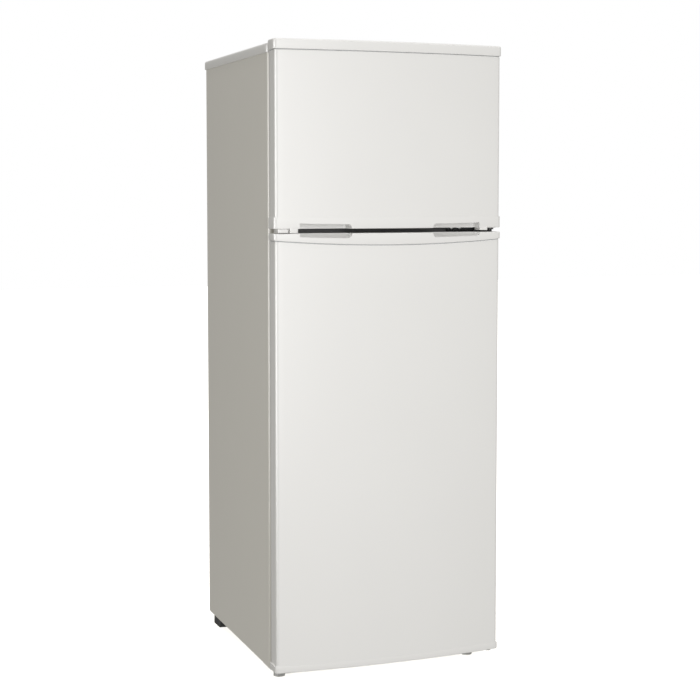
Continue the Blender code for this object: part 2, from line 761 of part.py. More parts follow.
base = box("compressor_base", (-243.0, 243.0), (330.0, 505.0), (27.0, 29.5), ZINC)
join(
    base,
    box("base_flange_left", (-270.0, -240.0), (420.0, 505.0), (27.0, 29.5)),
    box("base_flange_right", (240.0, 270.0), (420.0, 505.0), (27.0, 29.5)),
    box("base_back_lip", (-243.0, 243.0), (502.5, 505.0), (27.0, 44.0)),
)
compressor = cylinder(
    "compressor", (70.0, 415.0, 0), 76.0, 62.0, 182.0, look=BLACK_STEEL, sides=32
)
bevel(compressor, 26.0, 4, 50)
join(
    compressor,
    box("compressor_feet", (-25.0, 165.0), (352.0, 478.0), (48.0, 51.0)),
    cylinder("compressor_pad", (70.0, 415.0, 0), 50.0, 49.0, 75.0, sides=24),
    box("compressor_terminal", (-18.0, 20.0), (398.0, 432.0), (95.0, 135.0)),
)
for number, (x, y) in enumerate(((-12.0, 364.0), (152.0, 364.0), (-12.0, 466.0), (152.0, 466.0))):
    cylinder(
        f"compressor_grommet_{number + 1}",
        (x, y, 0),
        11.0,
        29.8,
        47.7,
        look=RUBBER,
        sides=20,
        top_radius=9.0,
    )
box("relay_box", (-62.0, -18.3), (388.0, 442.0), (88.0, 148.0), BLACK_PLASTIC, 3.0, 1)
tray = box("evaporation_tray", (5.0, 135.0), (350.0, 480.0), (182.3, 222.0), BLACK_PLASTIC)
cut(tray, box("tray_room", (7.5, 132.5), (352.5, 477.5), (184.8, 240.0)))
join(tray, box("tray_rim", (135.0 - 2.5, 143.0), (350.0, 480.0), (219.0, 222.0)))
suction = rounded_route(
    [(-8.0, 440.0, 160.0), (-40.0, 470.0, 160.0), (-110.0, 480.0, 160.0), (-110.0, 480.0, 60.0),
     (-200.0, 480.0, 60.0), (-200.0, 480.0, 235.0)],
    22.0,
)
tube("suction_tube", suction, 3.4, COPPER, 1)
cylinder("cord_gland", (-215.0, 0, 37.0), 8.0, 505.4, 514.0, "Y", BLACK_PLASTIC, 20, 7.0)

serpentine = []
for row in range(7):
    z = 320.0 + 150.0 * row
    ends = (-210.0, 210.0) if row % 2 == 0 else (210.0, -210.0)
    serpentine += [(ends[0], foam_back + 2.9, z), (ends[1], foam_back + 2.9, z)]
tube("condenser_tube", rounded_route(serpentine, 40.0, 3), 2.4, COPPER, 1)

cylinder("door_switch", (SWITCH_X, 0, SWITCH_Z), 3.2, 34.3, 72.0, "Y", TRIM_WHITE, 16)

# Each door's pieces hang from an empty on the hinge axis

for door in ("freezer_door", "fridge_door"):
    pivot = bpy.data.objects.new(f"{door}_pivot", None)
    pivot.empty_display_size = 0.05
    pivot.location = Vector((HINGE_X, HINGE_Y, MEETING)) * MM
    for obj in list(PARTS.objects):
        if obj.name.startswith(door) or (door == "freezer_door" and obj.name == "hinge_hole_plug"):
            obj.parent = pivot
            obj.matrix_parent_inverse = Matrix.Translation(-pivot.location)
    PARTS.objects.link(pivot)

front_most = door_front(0.0, HALF_TRIM, 1.0)
shift = -(front_most + WORKTOP_BACK) / 2 * MM
for obj in list(PARTS.objects) + list(CUTTERS.objects):
    if obj.parent is None:
        obj.location.y += shift
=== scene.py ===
"""Top freezer refrigerator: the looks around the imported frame.

Lengths are in millimetres, X across, Z up, and Y = 0 at the cabinet's front flange.
point() turns them into metres in the row frame.
"""

import json
import math

import bmesh
import bpy
from mathutils import Matrix, Vector

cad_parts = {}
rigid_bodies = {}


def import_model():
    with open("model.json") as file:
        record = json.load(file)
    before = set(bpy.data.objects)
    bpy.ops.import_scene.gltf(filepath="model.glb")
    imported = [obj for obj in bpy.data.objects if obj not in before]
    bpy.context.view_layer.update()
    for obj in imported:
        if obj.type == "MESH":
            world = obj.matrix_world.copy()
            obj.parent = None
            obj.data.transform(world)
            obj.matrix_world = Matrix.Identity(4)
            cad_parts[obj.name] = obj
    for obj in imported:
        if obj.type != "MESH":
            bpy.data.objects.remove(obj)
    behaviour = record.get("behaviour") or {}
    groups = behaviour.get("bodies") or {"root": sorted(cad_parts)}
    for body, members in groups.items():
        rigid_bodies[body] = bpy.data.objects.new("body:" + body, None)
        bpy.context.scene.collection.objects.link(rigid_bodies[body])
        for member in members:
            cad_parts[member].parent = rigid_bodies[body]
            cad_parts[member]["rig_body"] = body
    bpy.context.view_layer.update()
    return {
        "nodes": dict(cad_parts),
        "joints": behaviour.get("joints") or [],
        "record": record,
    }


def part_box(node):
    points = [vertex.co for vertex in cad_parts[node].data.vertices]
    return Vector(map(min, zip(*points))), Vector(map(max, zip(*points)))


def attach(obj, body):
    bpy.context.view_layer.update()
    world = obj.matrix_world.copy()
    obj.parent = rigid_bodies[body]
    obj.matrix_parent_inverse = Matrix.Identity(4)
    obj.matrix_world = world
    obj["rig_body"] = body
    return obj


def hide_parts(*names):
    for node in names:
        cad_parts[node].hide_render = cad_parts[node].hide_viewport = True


for old in list(bpy.data.objects):
    bpy.data.objects.remove(old)

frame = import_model()
NODES = frame["nodes"]
SLOTS = {part["node"]: part["material_slot"] for part in frame["record"]["subparts"]}
MM = 0.001
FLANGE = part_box("side_panel_left")[0].y / MM
STEEL = 0.8
SEAM = 0.3
FLUSH = 0.02


def span(node):
    """((low x, high x), (low y, high y), (low z, high z)) of a CAD node, in millimetres."""
    low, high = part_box(node)
    shift = (0.0, FLANGE, 0.0)
    return [(low[i] / MM - shift[i], high[i] / MM - shift[i]) for i in range(3)]


def point(x, y, z):
    return Vector((x, y + FLANGE, z)) * MM


# Camera

camera_data = bpy.data.cameras.new("camera")
camera_data.sensor_width = 36.0
camera_data.lens = 78.081
camera_data.shift_y = -0.075
camera = bpy.data.objects.new("camera", camera_data)
camera.location = (-1.2827, -3.4454, 1.0915)
camera.rotation_euler = (math.radians(90 - 3.887), 0.0, math.radians(-20.530))
bpy.context.scene.collection.objects.link(camera)
bpy.context.scene.camera = camera
bpy.context.scene.view_settings.view_transform = "Standard"

# Materials


class Graph:
    """A short way to write a material's nodes."""

    def __init__(self, name):
        self.material = bpy.data.materials.new(name)
        self.material.use_nodes = True
        self.tree = self.material.node_tree
        self.shader = self.tree.nodes["Principled BSDF"]
        self.spot = self.add("ShaderNodeTexCoord").outputs["Object"]

    def add(self, kind, **settings):
        node = self.tree.nodes.new(kind)
        for key, value in settings.items():
            setattr(node, key, value)
        return node

    def link(self, out, into):
        self.tree.links.new(out, into)

    def noise(self, size, detail=3.0, stretch=None):
        """Noise whose features are about `size` mm across, stretched along an axis where asked."""
        node = self.add("ShaderNodeTexNoise")
        node.inputs["Scale"].default_value = 1.0 / (size * MM)
        node.inputs["Detail"].default_value = detail
        source = self.spot
        if stretch:
            mapping = self.add("ShaderNodeMapping")
            mapping.inputs["Scale"].default_value = stretch
            self.link(source, mapping.inputs["Vector"])
            source = mapping.outputs["Vector"]
        self.link(source, node.inputs["Vector"])
        return node.outputs["Fac"]

    def ranged(self, value, low, high, start=0.3, end=0.7):
        node = self.add("ShaderNodeMapRange")
        for key, number in zip(("From Min", "From Max", "To Min", "To Max"), (start, end, low, high)):
            node.inputs[key].default_value = number
        self.link(value, node.inputs["Value"])
        return node.outputs["Result"]

    def mixed(self, factor, first, second):
        node = self.add("ShaderNodeMix", data_type="RGBA")
        self.link(factor, node.inputs["Factor"])
        for socket, value in ((node.inputs[6], first), (node.inputs[7], second)):
            if isinstance(value, tuple):
                socket.default_value = (*value, 1.0)
            else:
                self.link(value, socket)
        return node.outputs[2]

    def bump(self, height, depth, strength=1.0, under=None):
        node = self.add("ShaderNodeBump")
        node.inputs["Distance"].default_value = depth * MM
        node.inputs["Strength"].default_value = strength
        self.link(height, node.inputs["Height"])
        if under is not None:
            self.link(under, node.inputs["Normal"])
        return node.outputs["Normal"]


def shaded(colour, share):
    return tuple(min(channel * share, 1.0) for channel in colour)


def finish(
    name, colour, rough, metal=0.0, mottle=0.03, mottle_size=60.0, grain=0.02, grain_size=0.8,
    vary=0.05, coat=0.0, stretch=None, wear=0.0, dust=None, **sockets,
):
    """A coated, moulded or bare surface: drifting tone, uneven gloss, fine grain and worn edges."""
    g = Graph(name)
    tone = g.noise(mottle_size, 2.0, stretch)
    base = g.mixed(
        g.ranged(tone, 0.0, 1.0, 0.0, 1.0), shaded(colour, 1 - mottle), shaded(colour, 1 + mottle)
    )
    if dust:
        speck = g.noise(mottle_size / 9, 6.0)
        base = g.mixed(g.ranged(speck, 0.0, 0.35, 0.52, 0.8), base, dust)
    if wear:
        edge = g.add("ShaderNodeNewGeometry").outputs["Pointiness"]
        base = g.mixed(g.ranged(edge, 0.0, wear, 0.52, 0.6), base, shaded(colour, 1.35))
    g.link(base, g.shader.inputs["Base Color"])
    gloss = g.noise(mottle_size / 4, 2.0, stretch)
    g.link(g.ranged(gloss, max(rough - vary, 0.02), rough + vary, 0.0, 1.0), g.shader.inputs["Roughness"])
    fine = g.bump(g.noise(grain_size, 2.0, stretch), grain)
    g.link(g.bump(g.noise(grain_size * 7, 2.0), grain, 0.35, fine), g.shader.inputs["Normal"])
    g.shader.inputs["Metallic"].default_value = metal
    g.shader.inputs["Coat Weight"].default_value = coat
    g.shader.inputs["Coat Roughness"].default_value = 0.12
    for key, value in sockets.items():
        g.shader.inputs[key.replace("_", " ")].default_value = value
    return g.material


def spangled(name, colour):
    """Hot-dip galvanised sheet: flat crystals that differ in tone and gloss."""
    g = Graph(name)
    cells = g.add("ShaderNodeTexVoronoi")
    cells.inputs["Scale"].default_value = 1.0 / (9 * MM)
    g.link(g.spot, cells.inputs["Vector"])
    grey = g.add("ShaderNodeRGBToBW")
    g.link(cells.outputs["Color"], grey.inputs["Color"])
    crystal = grey.outputs["Val"]
    drift = g.noise(160.0, 4.0)
    tone = g.mixed(g.ranged(crystal, 0.0, 1.0, 0.1, 0.9), shaded(colour, 0.86), shaded(colour, 1.1))
    cloud = g.mixed(g.ranged(drift, 0.0, 0.3), tone, shaded(colour, 0.72))
    g.link(cloud, g.shader.inputs["Base Color"])
    g.link(g.ranged(crystal, 0.34, 0.56, 0.1, 0.9), g.shader.inputs["Roughness"])
    g.shader.inputs["Metallic"].default_value = 0.75
    g.link(g.bump(g.noise(1.2), 0.02), g.shader.inputs["Normal"])
    return g.material


def see_through(name, colour, rough, index, grain, ripple):
    """Glass or clear moulded plastic, with a faint ripple and fine handling marks."""
    g = Graph(name)
    tone = g.noise(90.0, 3.0)
    g.link(
        g.mixed(g.ranged(tone, 0.0, 1.0), shaded(colour, 0.96), shaded(colour, 1.02)),
        g.shader.inputs["Base Color"],
    )
    smear = g.noise(24.0, 6.0)
    g.link(g.ranged(smear, rough, rough + 0.08), g.shader.inputs["Roughness"])
    fine = g.bump(g.noise(1.5, 2.0), grain)
    g.link(g.bump(g.noise(45.0, 2.0), ripple, 0.6, fine), g.shader.inputs["Normal"])
    g.shader.inputs["Transmission Weight"].default_value = 0.92
    g.shader.inputs["IOR"].default_value = index
    return g.material


LOOKS = {
    "white_steel": finish(
        "white_steel", (0.80, 0.795, 0.785), 0.40, mottle=0.012, mottle_size=220.0, grain=0.012,
        grain_size=1.1, vary=0.03, coat=0.04,
    ),
    # The cabinet sides take the doors' white made darker and warmer: painted shade for the sides that face
    # away from the lamps.
    "cabinet_paint": finish(
        "cabinet_paint", (0.76, 0.74, 0.685), 0.36, mottle=0.010, mottle_size=260.0, grain=0.008,
        grain_size=1.1, vary=0.03, Specular_IOR_Level=0.45,
    ),
    "white_trim": finish(
        "white_trim", (0.80, 0.795, 0.785), 0.36, mottle=0.012, mottle_size=90.0, grain=0.02, grain_size=0.5,
        vary=0.04,
    ),
    "liner_white": finish(
        "liner_white", (0.84, 0.86, 0.855), 0.30, mottle=0.015, mottle_size=120.0, grain=0.025,
        grain_size=0.9, vary=0.05, Subsurface_Weight=0.0,
    ),
    "gasket": finish(
        "gasket", (0.55, 0.55, 0.54), 0.55, mottle=0.04, mottle_size=50.0, grain=0.02, grain_size=0.4,
        Sheen_Weight=0.1,
    ),
    "foam": finish(
        "foam", (0.80, 0.68, 0.42), 0.9, mottle=0.1, mottle_size=18.0, grain=0.5, grain_size=1.6
    ),
    "galvanised": spangled("galvanised", (0.60, 0.61, 0.61)),
    "zinc": finish(
        "zinc", (0.50, 0.51, 0.50), 0.36, metal=1.0, mottle=0.1, mottle_size=14.0, grain=0.01,
        grain_size=0.4, vary=0.1, wear=0.7,
    ),
    "black_steel": finish(
        "black_steel", (0.022, 0.022, 0.023), 0.38, mottle=0.2, mottle_size=30.0, grain=0.03, grain_size=0.9,
        vary=0.08, coat=0.2, wear=0.3, dust=(0.09, 0.085, 0.08),
    ),
    "black_plastic": finish(
        "black_plastic", (0.018, 0.018, 0.019), 0.5, mottle=0.15, mottle_size=20.0, grain=0.05,
        grain_size=0.5, dust=(0.07, 0.068, 0.065),
    ),
    "black_rubber": finish(
        "black_rubber", (0.022, 0.022, 0.022), 0.8, mottle=0.2, mottle_size=12.0, grain=0.08,
        grain_size=0.6, dust=(0.08, 0.078, 0.072),
    ),
    "copper": finish(
        "copper", (0.70, 0.36, 0.22), 0.32, metal=1.0, mottle=0.18, mottle_size=9.0, grain=0.008,
        grain_size=0.5, vary=0.12,
    ),
    "aluminium": finish(
        "aluminium", (0.50, 0.51, 0.52), 0.52, metal=0.7, mottle=0.05, mottle_size=30.0, grain=0.01,
        grain_size=0.4, vary=0.08, stretch=(0.08, 1.0, 1.0),
    ),
    "glass": see_through("glass", (0.88, 0.97, 0.94), 0.01, 1.5, 0.002, 0.02),
    "clear_plastic": see_through("clear_plastic", (0.90, 0.95, 0.97), 0.06, 1.45, 0.01, 0.06),
    "foot_grey": finish(
        "foot_grey", (0.42, 0.42, 0.41), 0.45, mottle=0.08, mottle_size=8.0, grain=0.04, grain_size=0.5,
        dust=(0.22, 0.21, 0.20),
    ),
    "wire_white": finish(
        "wire_white", (0.82, 0.83, 0.83), 0.32, grain=0.02, grain_size=0.6, mottle_size=20.0
    ),
    "mark_grey": finish("mark_grey", (0.22, 0.24, 0.26), 0.5, grain=0.01, grain_size=0.3, mottle_size=5.0),
    "lamp_lens": see_through("lamp_lens", (0.95, 0.95, 0.92), 0.28, 1.45, 0.02, 0.1),
    # The centre rail is white steel; this near-black is painted shade for the deep gap between the doors.
    "dark_rail": finish("dark_rail", (0.09, 0.09, 0.09), 0.5, mottle=0.1, mottle_size=30.0, grain=0.02),
}

# Mesh helpers


def made(name, bm, sharp=38.0):
    """An object at the origin from a bmesh, smooth except along its real edges."""
    mesh = bpy.data.meshes.new(name)
    bm.to_mesh(mesh)
    bm.free()
    mesh.shade_smooth()
    mesh.set_sharp_from_angle(angle=math.radians(sharp))
    obj = bpy.data.objects.new(name, mesh)
    bpy.context.scene.collection.objects.link(obj)
    return obj


def loft(name, rings, closed=True, low_cap=True, high_cap=True):
    """Skins a stack of rings that have the same number of points, and fills its ends."""
    bm = bmesh.new()
    rows = [[bm.verts.new(point(*spot)) for spot in ring] for ring in rings]
    count = len(rows[0])
    for below, above in zip(rows, rows[1:]):
        for i in range(count if closed else count - 1):
            j = (i + 1) % count
            bm.faces.new((below[i], below[j], above[j], above[i]))
    ends = []
    if low_cap:
        ends.append(bm.faces.new(rows[0][::-1]))
    if high_cap:
        ends.append(bm.faces.new(rows[-1]))
    bmesh.ops.remove_doubles(bm, verts=bm.verts, dist=1e-6)
    bmesh.ops.triangulate(bm, faces=[face for face in ends if face.is_valid])
    bmesh.ops.recalc_face_normals(bm, faces=bm.faces)
    return made(name, bm)


def applied(obj):
    """Turns an object's modifiers into plain mesh."""
    bpy.context.view_layer.update()
    graph = bpy.context.evaluated_depsgraph_get()
    mesh = bpy.data.meshes.new_from_object(obj.evaluated_get(graph))
    obj.modifiers.clear()
    obj.data = mesh
    mesh.shade_smooth()
    mesh.set_sharp_from_angle(angle=math.radians(38.0))
    return obj


def thick(obj, thickness, offset=-1.0):
    made_thick = obj.modifiers.new("thickness", "SOLIDIFY")
    made_thick.thickness = thickness * MM
    made_thick.offset = offset
    made_thick.use_even_offset = True
    return applied(obj)


def rounded(obj, width, segments=3, angle=35.0):
    edges = obj.modifiers.new("edges", "BEVEL")
    edges.width = width * MM
    edges.segments = segments
    edges.limit_method = "ANGLE"
    edges.angle_limit = math.radians(angle)
    edges.harden_normals = False
    return applied(obj)


def carve(obj, *cutters):
    for cutter in cutters:
        step = obj.modifiers.new("carve", "BOOLEAN")
        step.operation = "DIFFERENCE"
        step.solver = "EXACT"
        step.object = cutter
    applied(obj)
    for cutter in cutters:
        bpy.data.objects.remove(cutter)
    return obj


def together(first, *others):
    """Adds the meshes of other objects to the first one's."""
    bm = bmesh.new()
    for obj in (first, *others):
        bm.from_mesh(obj.data)
    name = first.name
    for obj in (first, *others):
        bpy.data.objects.remove(obj)
    return made(name, bm)


def turn(centre, radius, start, end, steps):
    found = []
    for step in range(steps + 1):
        angle = math.radians(start + (end - start) * step / steps)
        found.append((centre[0] + radius * math.cos(angle), centre[1] + radius * math.sin(angle)))
    return found


def round_rect(u, v, radius, steps=6):
    (u0, u1), (v0, v1) = u, v
    radius = max(min(radius, (u1 - u0) / 2 - 0.01, (v1 - v0) / 2 - 0.01), 0.02)
    ring = []
    for cu, cv, start in (
        (u1 - radius, v1 - radius, 0),
        (u0 + radius, v1 - radius, 90),
        (u0 + radius, v0 + radius, 180),
        (u1 - radius, v0 + radius, 270),
    ):
        ring += turn((cu, cv), radius, start, start + 90, steps)
    return ring


def along(axis, u, v, at):
    """A point from its two cross coordinates and its place along an axis."""
    return {"X": (at, u, v), "Y": (u, at, v), "Z": (u, v, at)}[axis]


def edge_rows(low, high, edge, steps=3):
    """(place, inset) pairs that round both ends of a stack."""
    start = []
    for step in range(steps + 1):
        angle = math.pi / 2 * step / steps
        start.append((edge * (1 - math.cos(angle)), edge * (1 - math.sin(angle))))
    return [(low + rise, inset) for rise, inset in start] + [
        (high - rise, inset) for rise, inset in reversed(start)
    ]


def slab(name, x, y, z, corner=2.0, edge=0.5, axis="Z", steps=3):
    """A block with rounded corners around an axis and rounded rims at both ends."""
    spans = {"X": x, "Y": y, "Z": z}
    low, high = spans.pop(axis)
    u, v = spans.values()
    rings = []
    for at, inset in edge_rows(low, high, min(edge, (high - low) / 2.01), steps):
        ring = round_rect((u[0] + inset, u[1] - inset), (v[0] + inset, v[1] - inset), corner - inset)
        rings.append([along(axis, a, b, at) for a, b in ring])
    return loft(name, rings)


def tub(name, x, y, z, wall, corner, axis="Z", floor=None, lip=0.0, top=None, draft=0.0):
    """An open box with rounded corners, a rounded rim and a rounded floor. `top` lowers the rim."""
    floor = wall if floor is None else floor
    spans = {"X": x, "Y": y, "Z": z}
    low, high = spans.pop(axis)
    u, v = spans.values()
    rows = [(low, 4.0), (low + 0.6, 1.6), (low + 2.0, 0.4), (low + 4.5, 0.0)]
    rows += [(high - 5.0, 0.0), (high - 4.0, -lip * 0.7), (high - 2.6, -lip), (high - 0.9, -lip)]
    rows += [
        (high - 0.2, -lip + 0.5), (high, wall / 2 - lip / 2), (high - 0.4, wall - 0.4),
        (high - 1.4, wall)
    ]
    rows += [(low + floor + 6.0, wall), (low + floor + 2.0, wall + 1.4), (low + floor + 0.4, wall + 4.2)]
    rows += [(low + floor, wall + 8.0)]
    rings = []
    for at, inset in rows:
        shrink = inset + draft * (high - at) / (high - low)
        ring = round_rect(
            (u[0] + shrink, u[1] - shrink), (v[0] + shrink, v[1] - shrink), corner - shrink, 5
        )
        spots = []
        for a, b in ring:
            height = at
            if top is not None:
                share = (at - low) / (high - low)
                height = low + share * (top(b) - low) if share > 0.2 else at
            spots.append(along(axis, a, b, height))
        rings.append(spots)
    return loft(name, rings)


def turned(name, at, profile, axis="Z", sides=48, flutes=0, flute_depth=0.0, flute_rows=()):
    """A turned piece: (place along the axis, radius) rows about `at`, with optional flutes."""
    centre = [value for value, letter in zip(at, "XYZ") if letter != axis]
    rings = []
    for row, (place, radius) in enumerate(profile):
        ring = []
        for step in range(sides):
            angle = 2 * math.pi * step / sides
            size = radius
            if flutes and row in flute_rows:
                size -= flute_depth * (0.5 + 0.5 * math.cos(flutes * angle))
            a = centre[0] + size * math.cos(angle)
            b = centre[1] + size * math.sin(angle)
            ring.append(along(axis, a, b, place))
        rings.append(ring)
    return loft(name, rings)


def hoop(name, profile, x, z, corner, steps=6):
    """A closed frame around a rounded rectangle in X and Z. The profile is (inset, y) pairs."""
    rings = []
    for inset, y in profile + profile[:1]:
        ring = round_rect((x[0] + inset, x[1] - inset), (z[0] + inset, z[1] - inset), corner - inset, steps)
        rings.append([(a, y, b) for a, b in ring])
    return loft(name, rings, low_cap=False, high_cap=False)


def strip(name, path, rows):
    """An open sheet: a path in X and Y drawn up through rows, each a z or a height function."""
    rings = []
    for level in rows:
        rings.append([(x, y, level(x) if callable(level) else level) for x, y in path])
    return loft(name, rings, closed=False, low_cap=False, high_cap=False)


def pipe(name, corners, radius, bend=20.0):
    """A round tube along straight runs with smooth bends."""
    route = [Vector(corners[0])]
    for before, here, after in zip(corners, corners[1:], corners[2:]):
        before, here, after = Vector(before), Vector(here), Vector(after)
        reach = min(bend, (here - before).length / 2.1, (after - here).length / 2.1)
        start = here - (here - before).normalized() * reach
        end = here + (after - here).normalized() * reach
        for step in range(11):
            t = step / 10
            route.append(start * (1 - t) ** 2 + here * 2 * t * (1 - t) + end * t * t)
    route.append(Vector(corners[-1]))
    curve = bpy.data.curves.new(name, "CURVE")
    curve.dimensions = "3D"
    curve.bevel_depth = radius * MM
    curve.bevel_resolution = 4
    curve.use_fill_caps = True
    spline = curve.splines.new("POLY")
    spline.points.add(len(route) - 1)
    for spot, co in zip(spline.points, route):
        spot.co = (*point(*co), 1.0)
    guide = bpy.data.objects.new(name + "_route", curve)
    bpy.context.scene.collection.objects.link(guide)
    bpy.context.view_layer.update()
    mesh = bpy.data.meshes.new_from_object(guide.evaluated_get(bpy.context.evaluated_depsgraph_get()))
    bpy.data.objects.remove(guide)
    bm = bmesh.new()
    bm.from_mesh(mesh)
    bmesh.ops.remove_doubles(bm, verts=bm.verts, dist=1e-6)
    return made(name, bm)


def shown(obj, node, look=None, extra=False):
    """Gives a piece its finish and its body. It stands for the CAD node unless it is an extra."""
    slot = SLOTS[node]
    obj.data.materials.clear()
    obj.data.materials.append(LOOKS[look or slot])
    obj.data.polygons.foreach_set("material_index", [0] * len(obj.data.polygons))
    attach(obj, NODES[node]["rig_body"])
    if not extra:
        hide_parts(node)
    return obj


def refined(node, width=0.5, segments=3, look=None):
    """A CAD node's own shape with its edges broken, as pressed or moulded edges are."""
    bm = bmesh.new()
    bm.from_mesh(NODES[node].data)
    bmesh.ops.remove_doubles(bm, verts=bm.verts, dist=1e-6)
    bmesh.ops.dissolve_limit(bm, angle_limit=math.radians(1.0), verts=bm.verts, edges=bm.edges)
    obj = made(node + "_shape", bm)
    return shown(rounded(obj, width, segments), node, look)


# Cabinet shell

(_, side_high), (_, shell_back), (shell_low, shell_high) = span("side_panel_right")
CORNER = 9.0
# The side panels take the darker, warmer paint that stands for their shade.
for side, node in ((-1, "side_panel_left"), (1, "side_panel_right")):
    fold = turn((side_high - 1.6, shell_back - 1.6), 1.6, 90, 0, 5)
    roll = turn((side_high - CORNER, CORNER), CORNER, 0, -90, 14)
    path = [(side_high - 14, shell_back)] + fold + roll + [(side_high - 35.5, 0.0)]
    levels = [shell_low + (shell_high - shell_low) * step / 12 for step in range(13)]
    panel = strip(node + "_shape", [(side * x, y) for x, y in path], levels)
    bm = bmesh.new()
    bm.from_mesh(panel.data)
    bm.normal_update()
    outward = sum(face.normal.x * face.calc_area() for face in bm.faces) * side
    if outward < 0:
        bmesh.ops.reverse_faces(bm, faces=bm.faces)
        bm.to_mesh(panel.data)
    bm.free()
    shown(thick(panel, STEEL), node, "cabinet_paint")

(trim_low, trim_high), (worktop_front, worktop_back), (worktop_under, top_high) = span("worktop")
rows = [
    (worktop_under, 2.0), (worktop_under + 0.3, 0.9), (worktop_under + 0.9, 0.25),
    (worktop_under + 1.8, 0.0)
]
rim = ((6.0, 0.0), (4.2, 0.5), (2.4, 1.8), (1.0, 3.9), (0.25, 6.2), (0.0, 8.5))
rows += [(top_high - drop, inset) for drop, inset in rim]
rings = []
for z, inset in rows:
    ring = round_rect(
        (trim_low + inset, trim_high - inset), (worktop_front + inset, worktop_back - inset),
        11.0 - inset, 8
    )
    rings.append([(x, y, z) for x, y in ring])
worktop = loft("worktop_shape", rings)
notch = slab("hinge_notch", (238, 264), (-6, 14), (worktop_under - 2, 1417), 1.5, 0.2)
pocket = slab("bracket_notch", (205.4, 268.6), (-6, 60.6), (worktop_under - 2, 1406.8), 1.0, 0.2)
shown(carve(worktop, notch, pocket), "worktop")

for node in ("top_panel", "base_panel", "top_rail", "base_rail"):
    refined(node, 0.2, 2)
# The centre rail takes the near-black painted shade of the gap between the doors.
rail_x, rail_y, rail_z = span("center_rail")
shown(slab("center_rail_shape", rail_x, rail_y, rail_z, 1.0, 0.2, "Y"), "center_rail", "dark_rail")

back_x, back_y, back_z = span("back_panel")
panel = slab("back_panel_shape", back_x, back_y, back_z, 1.0, 0.2, "Y")
beads = []
for low, high in ((290, 640), (665, 1015), (1040, 1370)):
    profile = [
        (0.0, back_y[1] - 0.3), (2.0, back_y[1] + 0.1), (5.0, back_y[1] + 1.0), (8.0, back_y[1] + 1.0)
    ]
    profile += [(11.0, back_y[1] + 0.1), (13.0, back_y[1] - 0.3)]
    beads.append(hoop(f"bead_{low}", profile, (-225, 225), (low, high), 34.0, 8))
shown(together(panel, *beads), "back_panel")


def screw_head(name, at, radius, axis, out, node, depth=1.5):
    """A pan head with a cross recess, facing out along an axis."""
    place = at["XYZ".index(axis)]
    rows = [(0.0, 1.0), (0.25, 1.0), (0.6, 0.93), (0.85, 0.75), (0.97, 0.5), (1.0, 0.2)]
    profile = [(place + out * depth * rise, radius * share) for rise, share in rows]
    head = turned(name, at, profile, axis, 24)
    cutters = []
    for long, short in ((0.55, 0.13), (0.13, 0.55)):
        reach = {"X": (long, short), "Y": (long, short), "Z": (long, short)}[axis]
        spans = []
        order = iter(reach)
        for value, letter in zip(at, "XYZ"):
            if letter == axis:
                spans.append(tuple(sorted((place + out * depth * 0.45, place + out * depth * 1.4))))
            else:
                size = next(order) * radius
                spans.append((value - size, value + size))
        cutters.append(slab("slot", *spans, 0.05, 0.02, axis, 1))
    return shown(carve(head, *cutters), node, "zinc", extra=True)


for number, (x, z) in enumerate(
    [(side * 240.0, z) for side in (-1, 1) for z in (275.0, 650.0, 1025.0, 1385.0)]
):
    screw_head(f"back_screw_{number + 1}", (x, back_y[1], z), 4.0, "Y", 1, "back_panel")

LOOKS["foam_hidden"] = LOOKS["foam"]
# The door foams are drawn dark grey: painted shadow in the seams between skin and caps, where the foam shows
# through.
for node in ("cabinet_foam", "freezer_door_foam", "fridge_door_foam", "condenser_tube"):
    obj = NODES[node]
    obj.data.materials.clear()
    obj.data.materials.append(LOOKS["mark_grey" if "door" in node else SLOTS[node]])

# Doors

skin_x, skin_y, _ = span("freezer_door_skin")
HALF_SHELL, DOOR_BACK = skin_x[1], skin_y[1]
HALF_TRIM = span("freezer_door_top_cap")[0][1]
CROWN = 16.3
DOOR_EDGE = skin_y[0] + CROWN
DOOR_CORNER = 9.0
MEETING = (span("fridge_door_top_cap")[2][1] + span("freezer_door_bottom_cap")[2][0]) / 2
ARC_ENDS, ARC_MIDDLE = MEETING - 21.0, MEETING - 31.5
HINGE_X, HINGE_Y = (value / MM for value in frame["joints"][0]["pos_m"][:2])
HINGE_Y -= FLANGE
SOCKET_R = 5.0


def door_ring(half, out=0.0, inset=0.0, back=None, crown_steps=48):
    """A door's plan: back left edge, rounded corner, crowned front, corner, back right edge."""
    back = DOOR_BACK - inset if back is None else back
    reach, radius = half - inset, max(DOOR_CORNER - inset, 2.0)

    def front(x):
        return DOOR_EDGE - out + inset - CROWN * (1 - (x / half) ** 2)

    slope = 2 * CROWN * (reach - radius) / half**2
    last = 270 - math.degrees(math.atan(slope))
    meet_x = -reach + radius + radius * math.cos(math.radians(last))
    centre = (-reach + radius, front(meet_x) - radius * math.sin(math.radians(last)))
    left = turn(centre, radius, 180, last, 9)
    right = [(-x, y) for x, y in reversed(left)]
    crown = []
    for step in range(1, crown_steps):
        x = meet_x * (1 - 2 * step / crown_steps)
        crown.append((x, front(x)))
    return [(-reach, back)] + left + crown + right + [(reach, back)]


def seam(x):
    return ARC_MIDDLE + (ARC_ENDS - ARC_MIDDLE) * (x / HALF_SHELL) ** 2


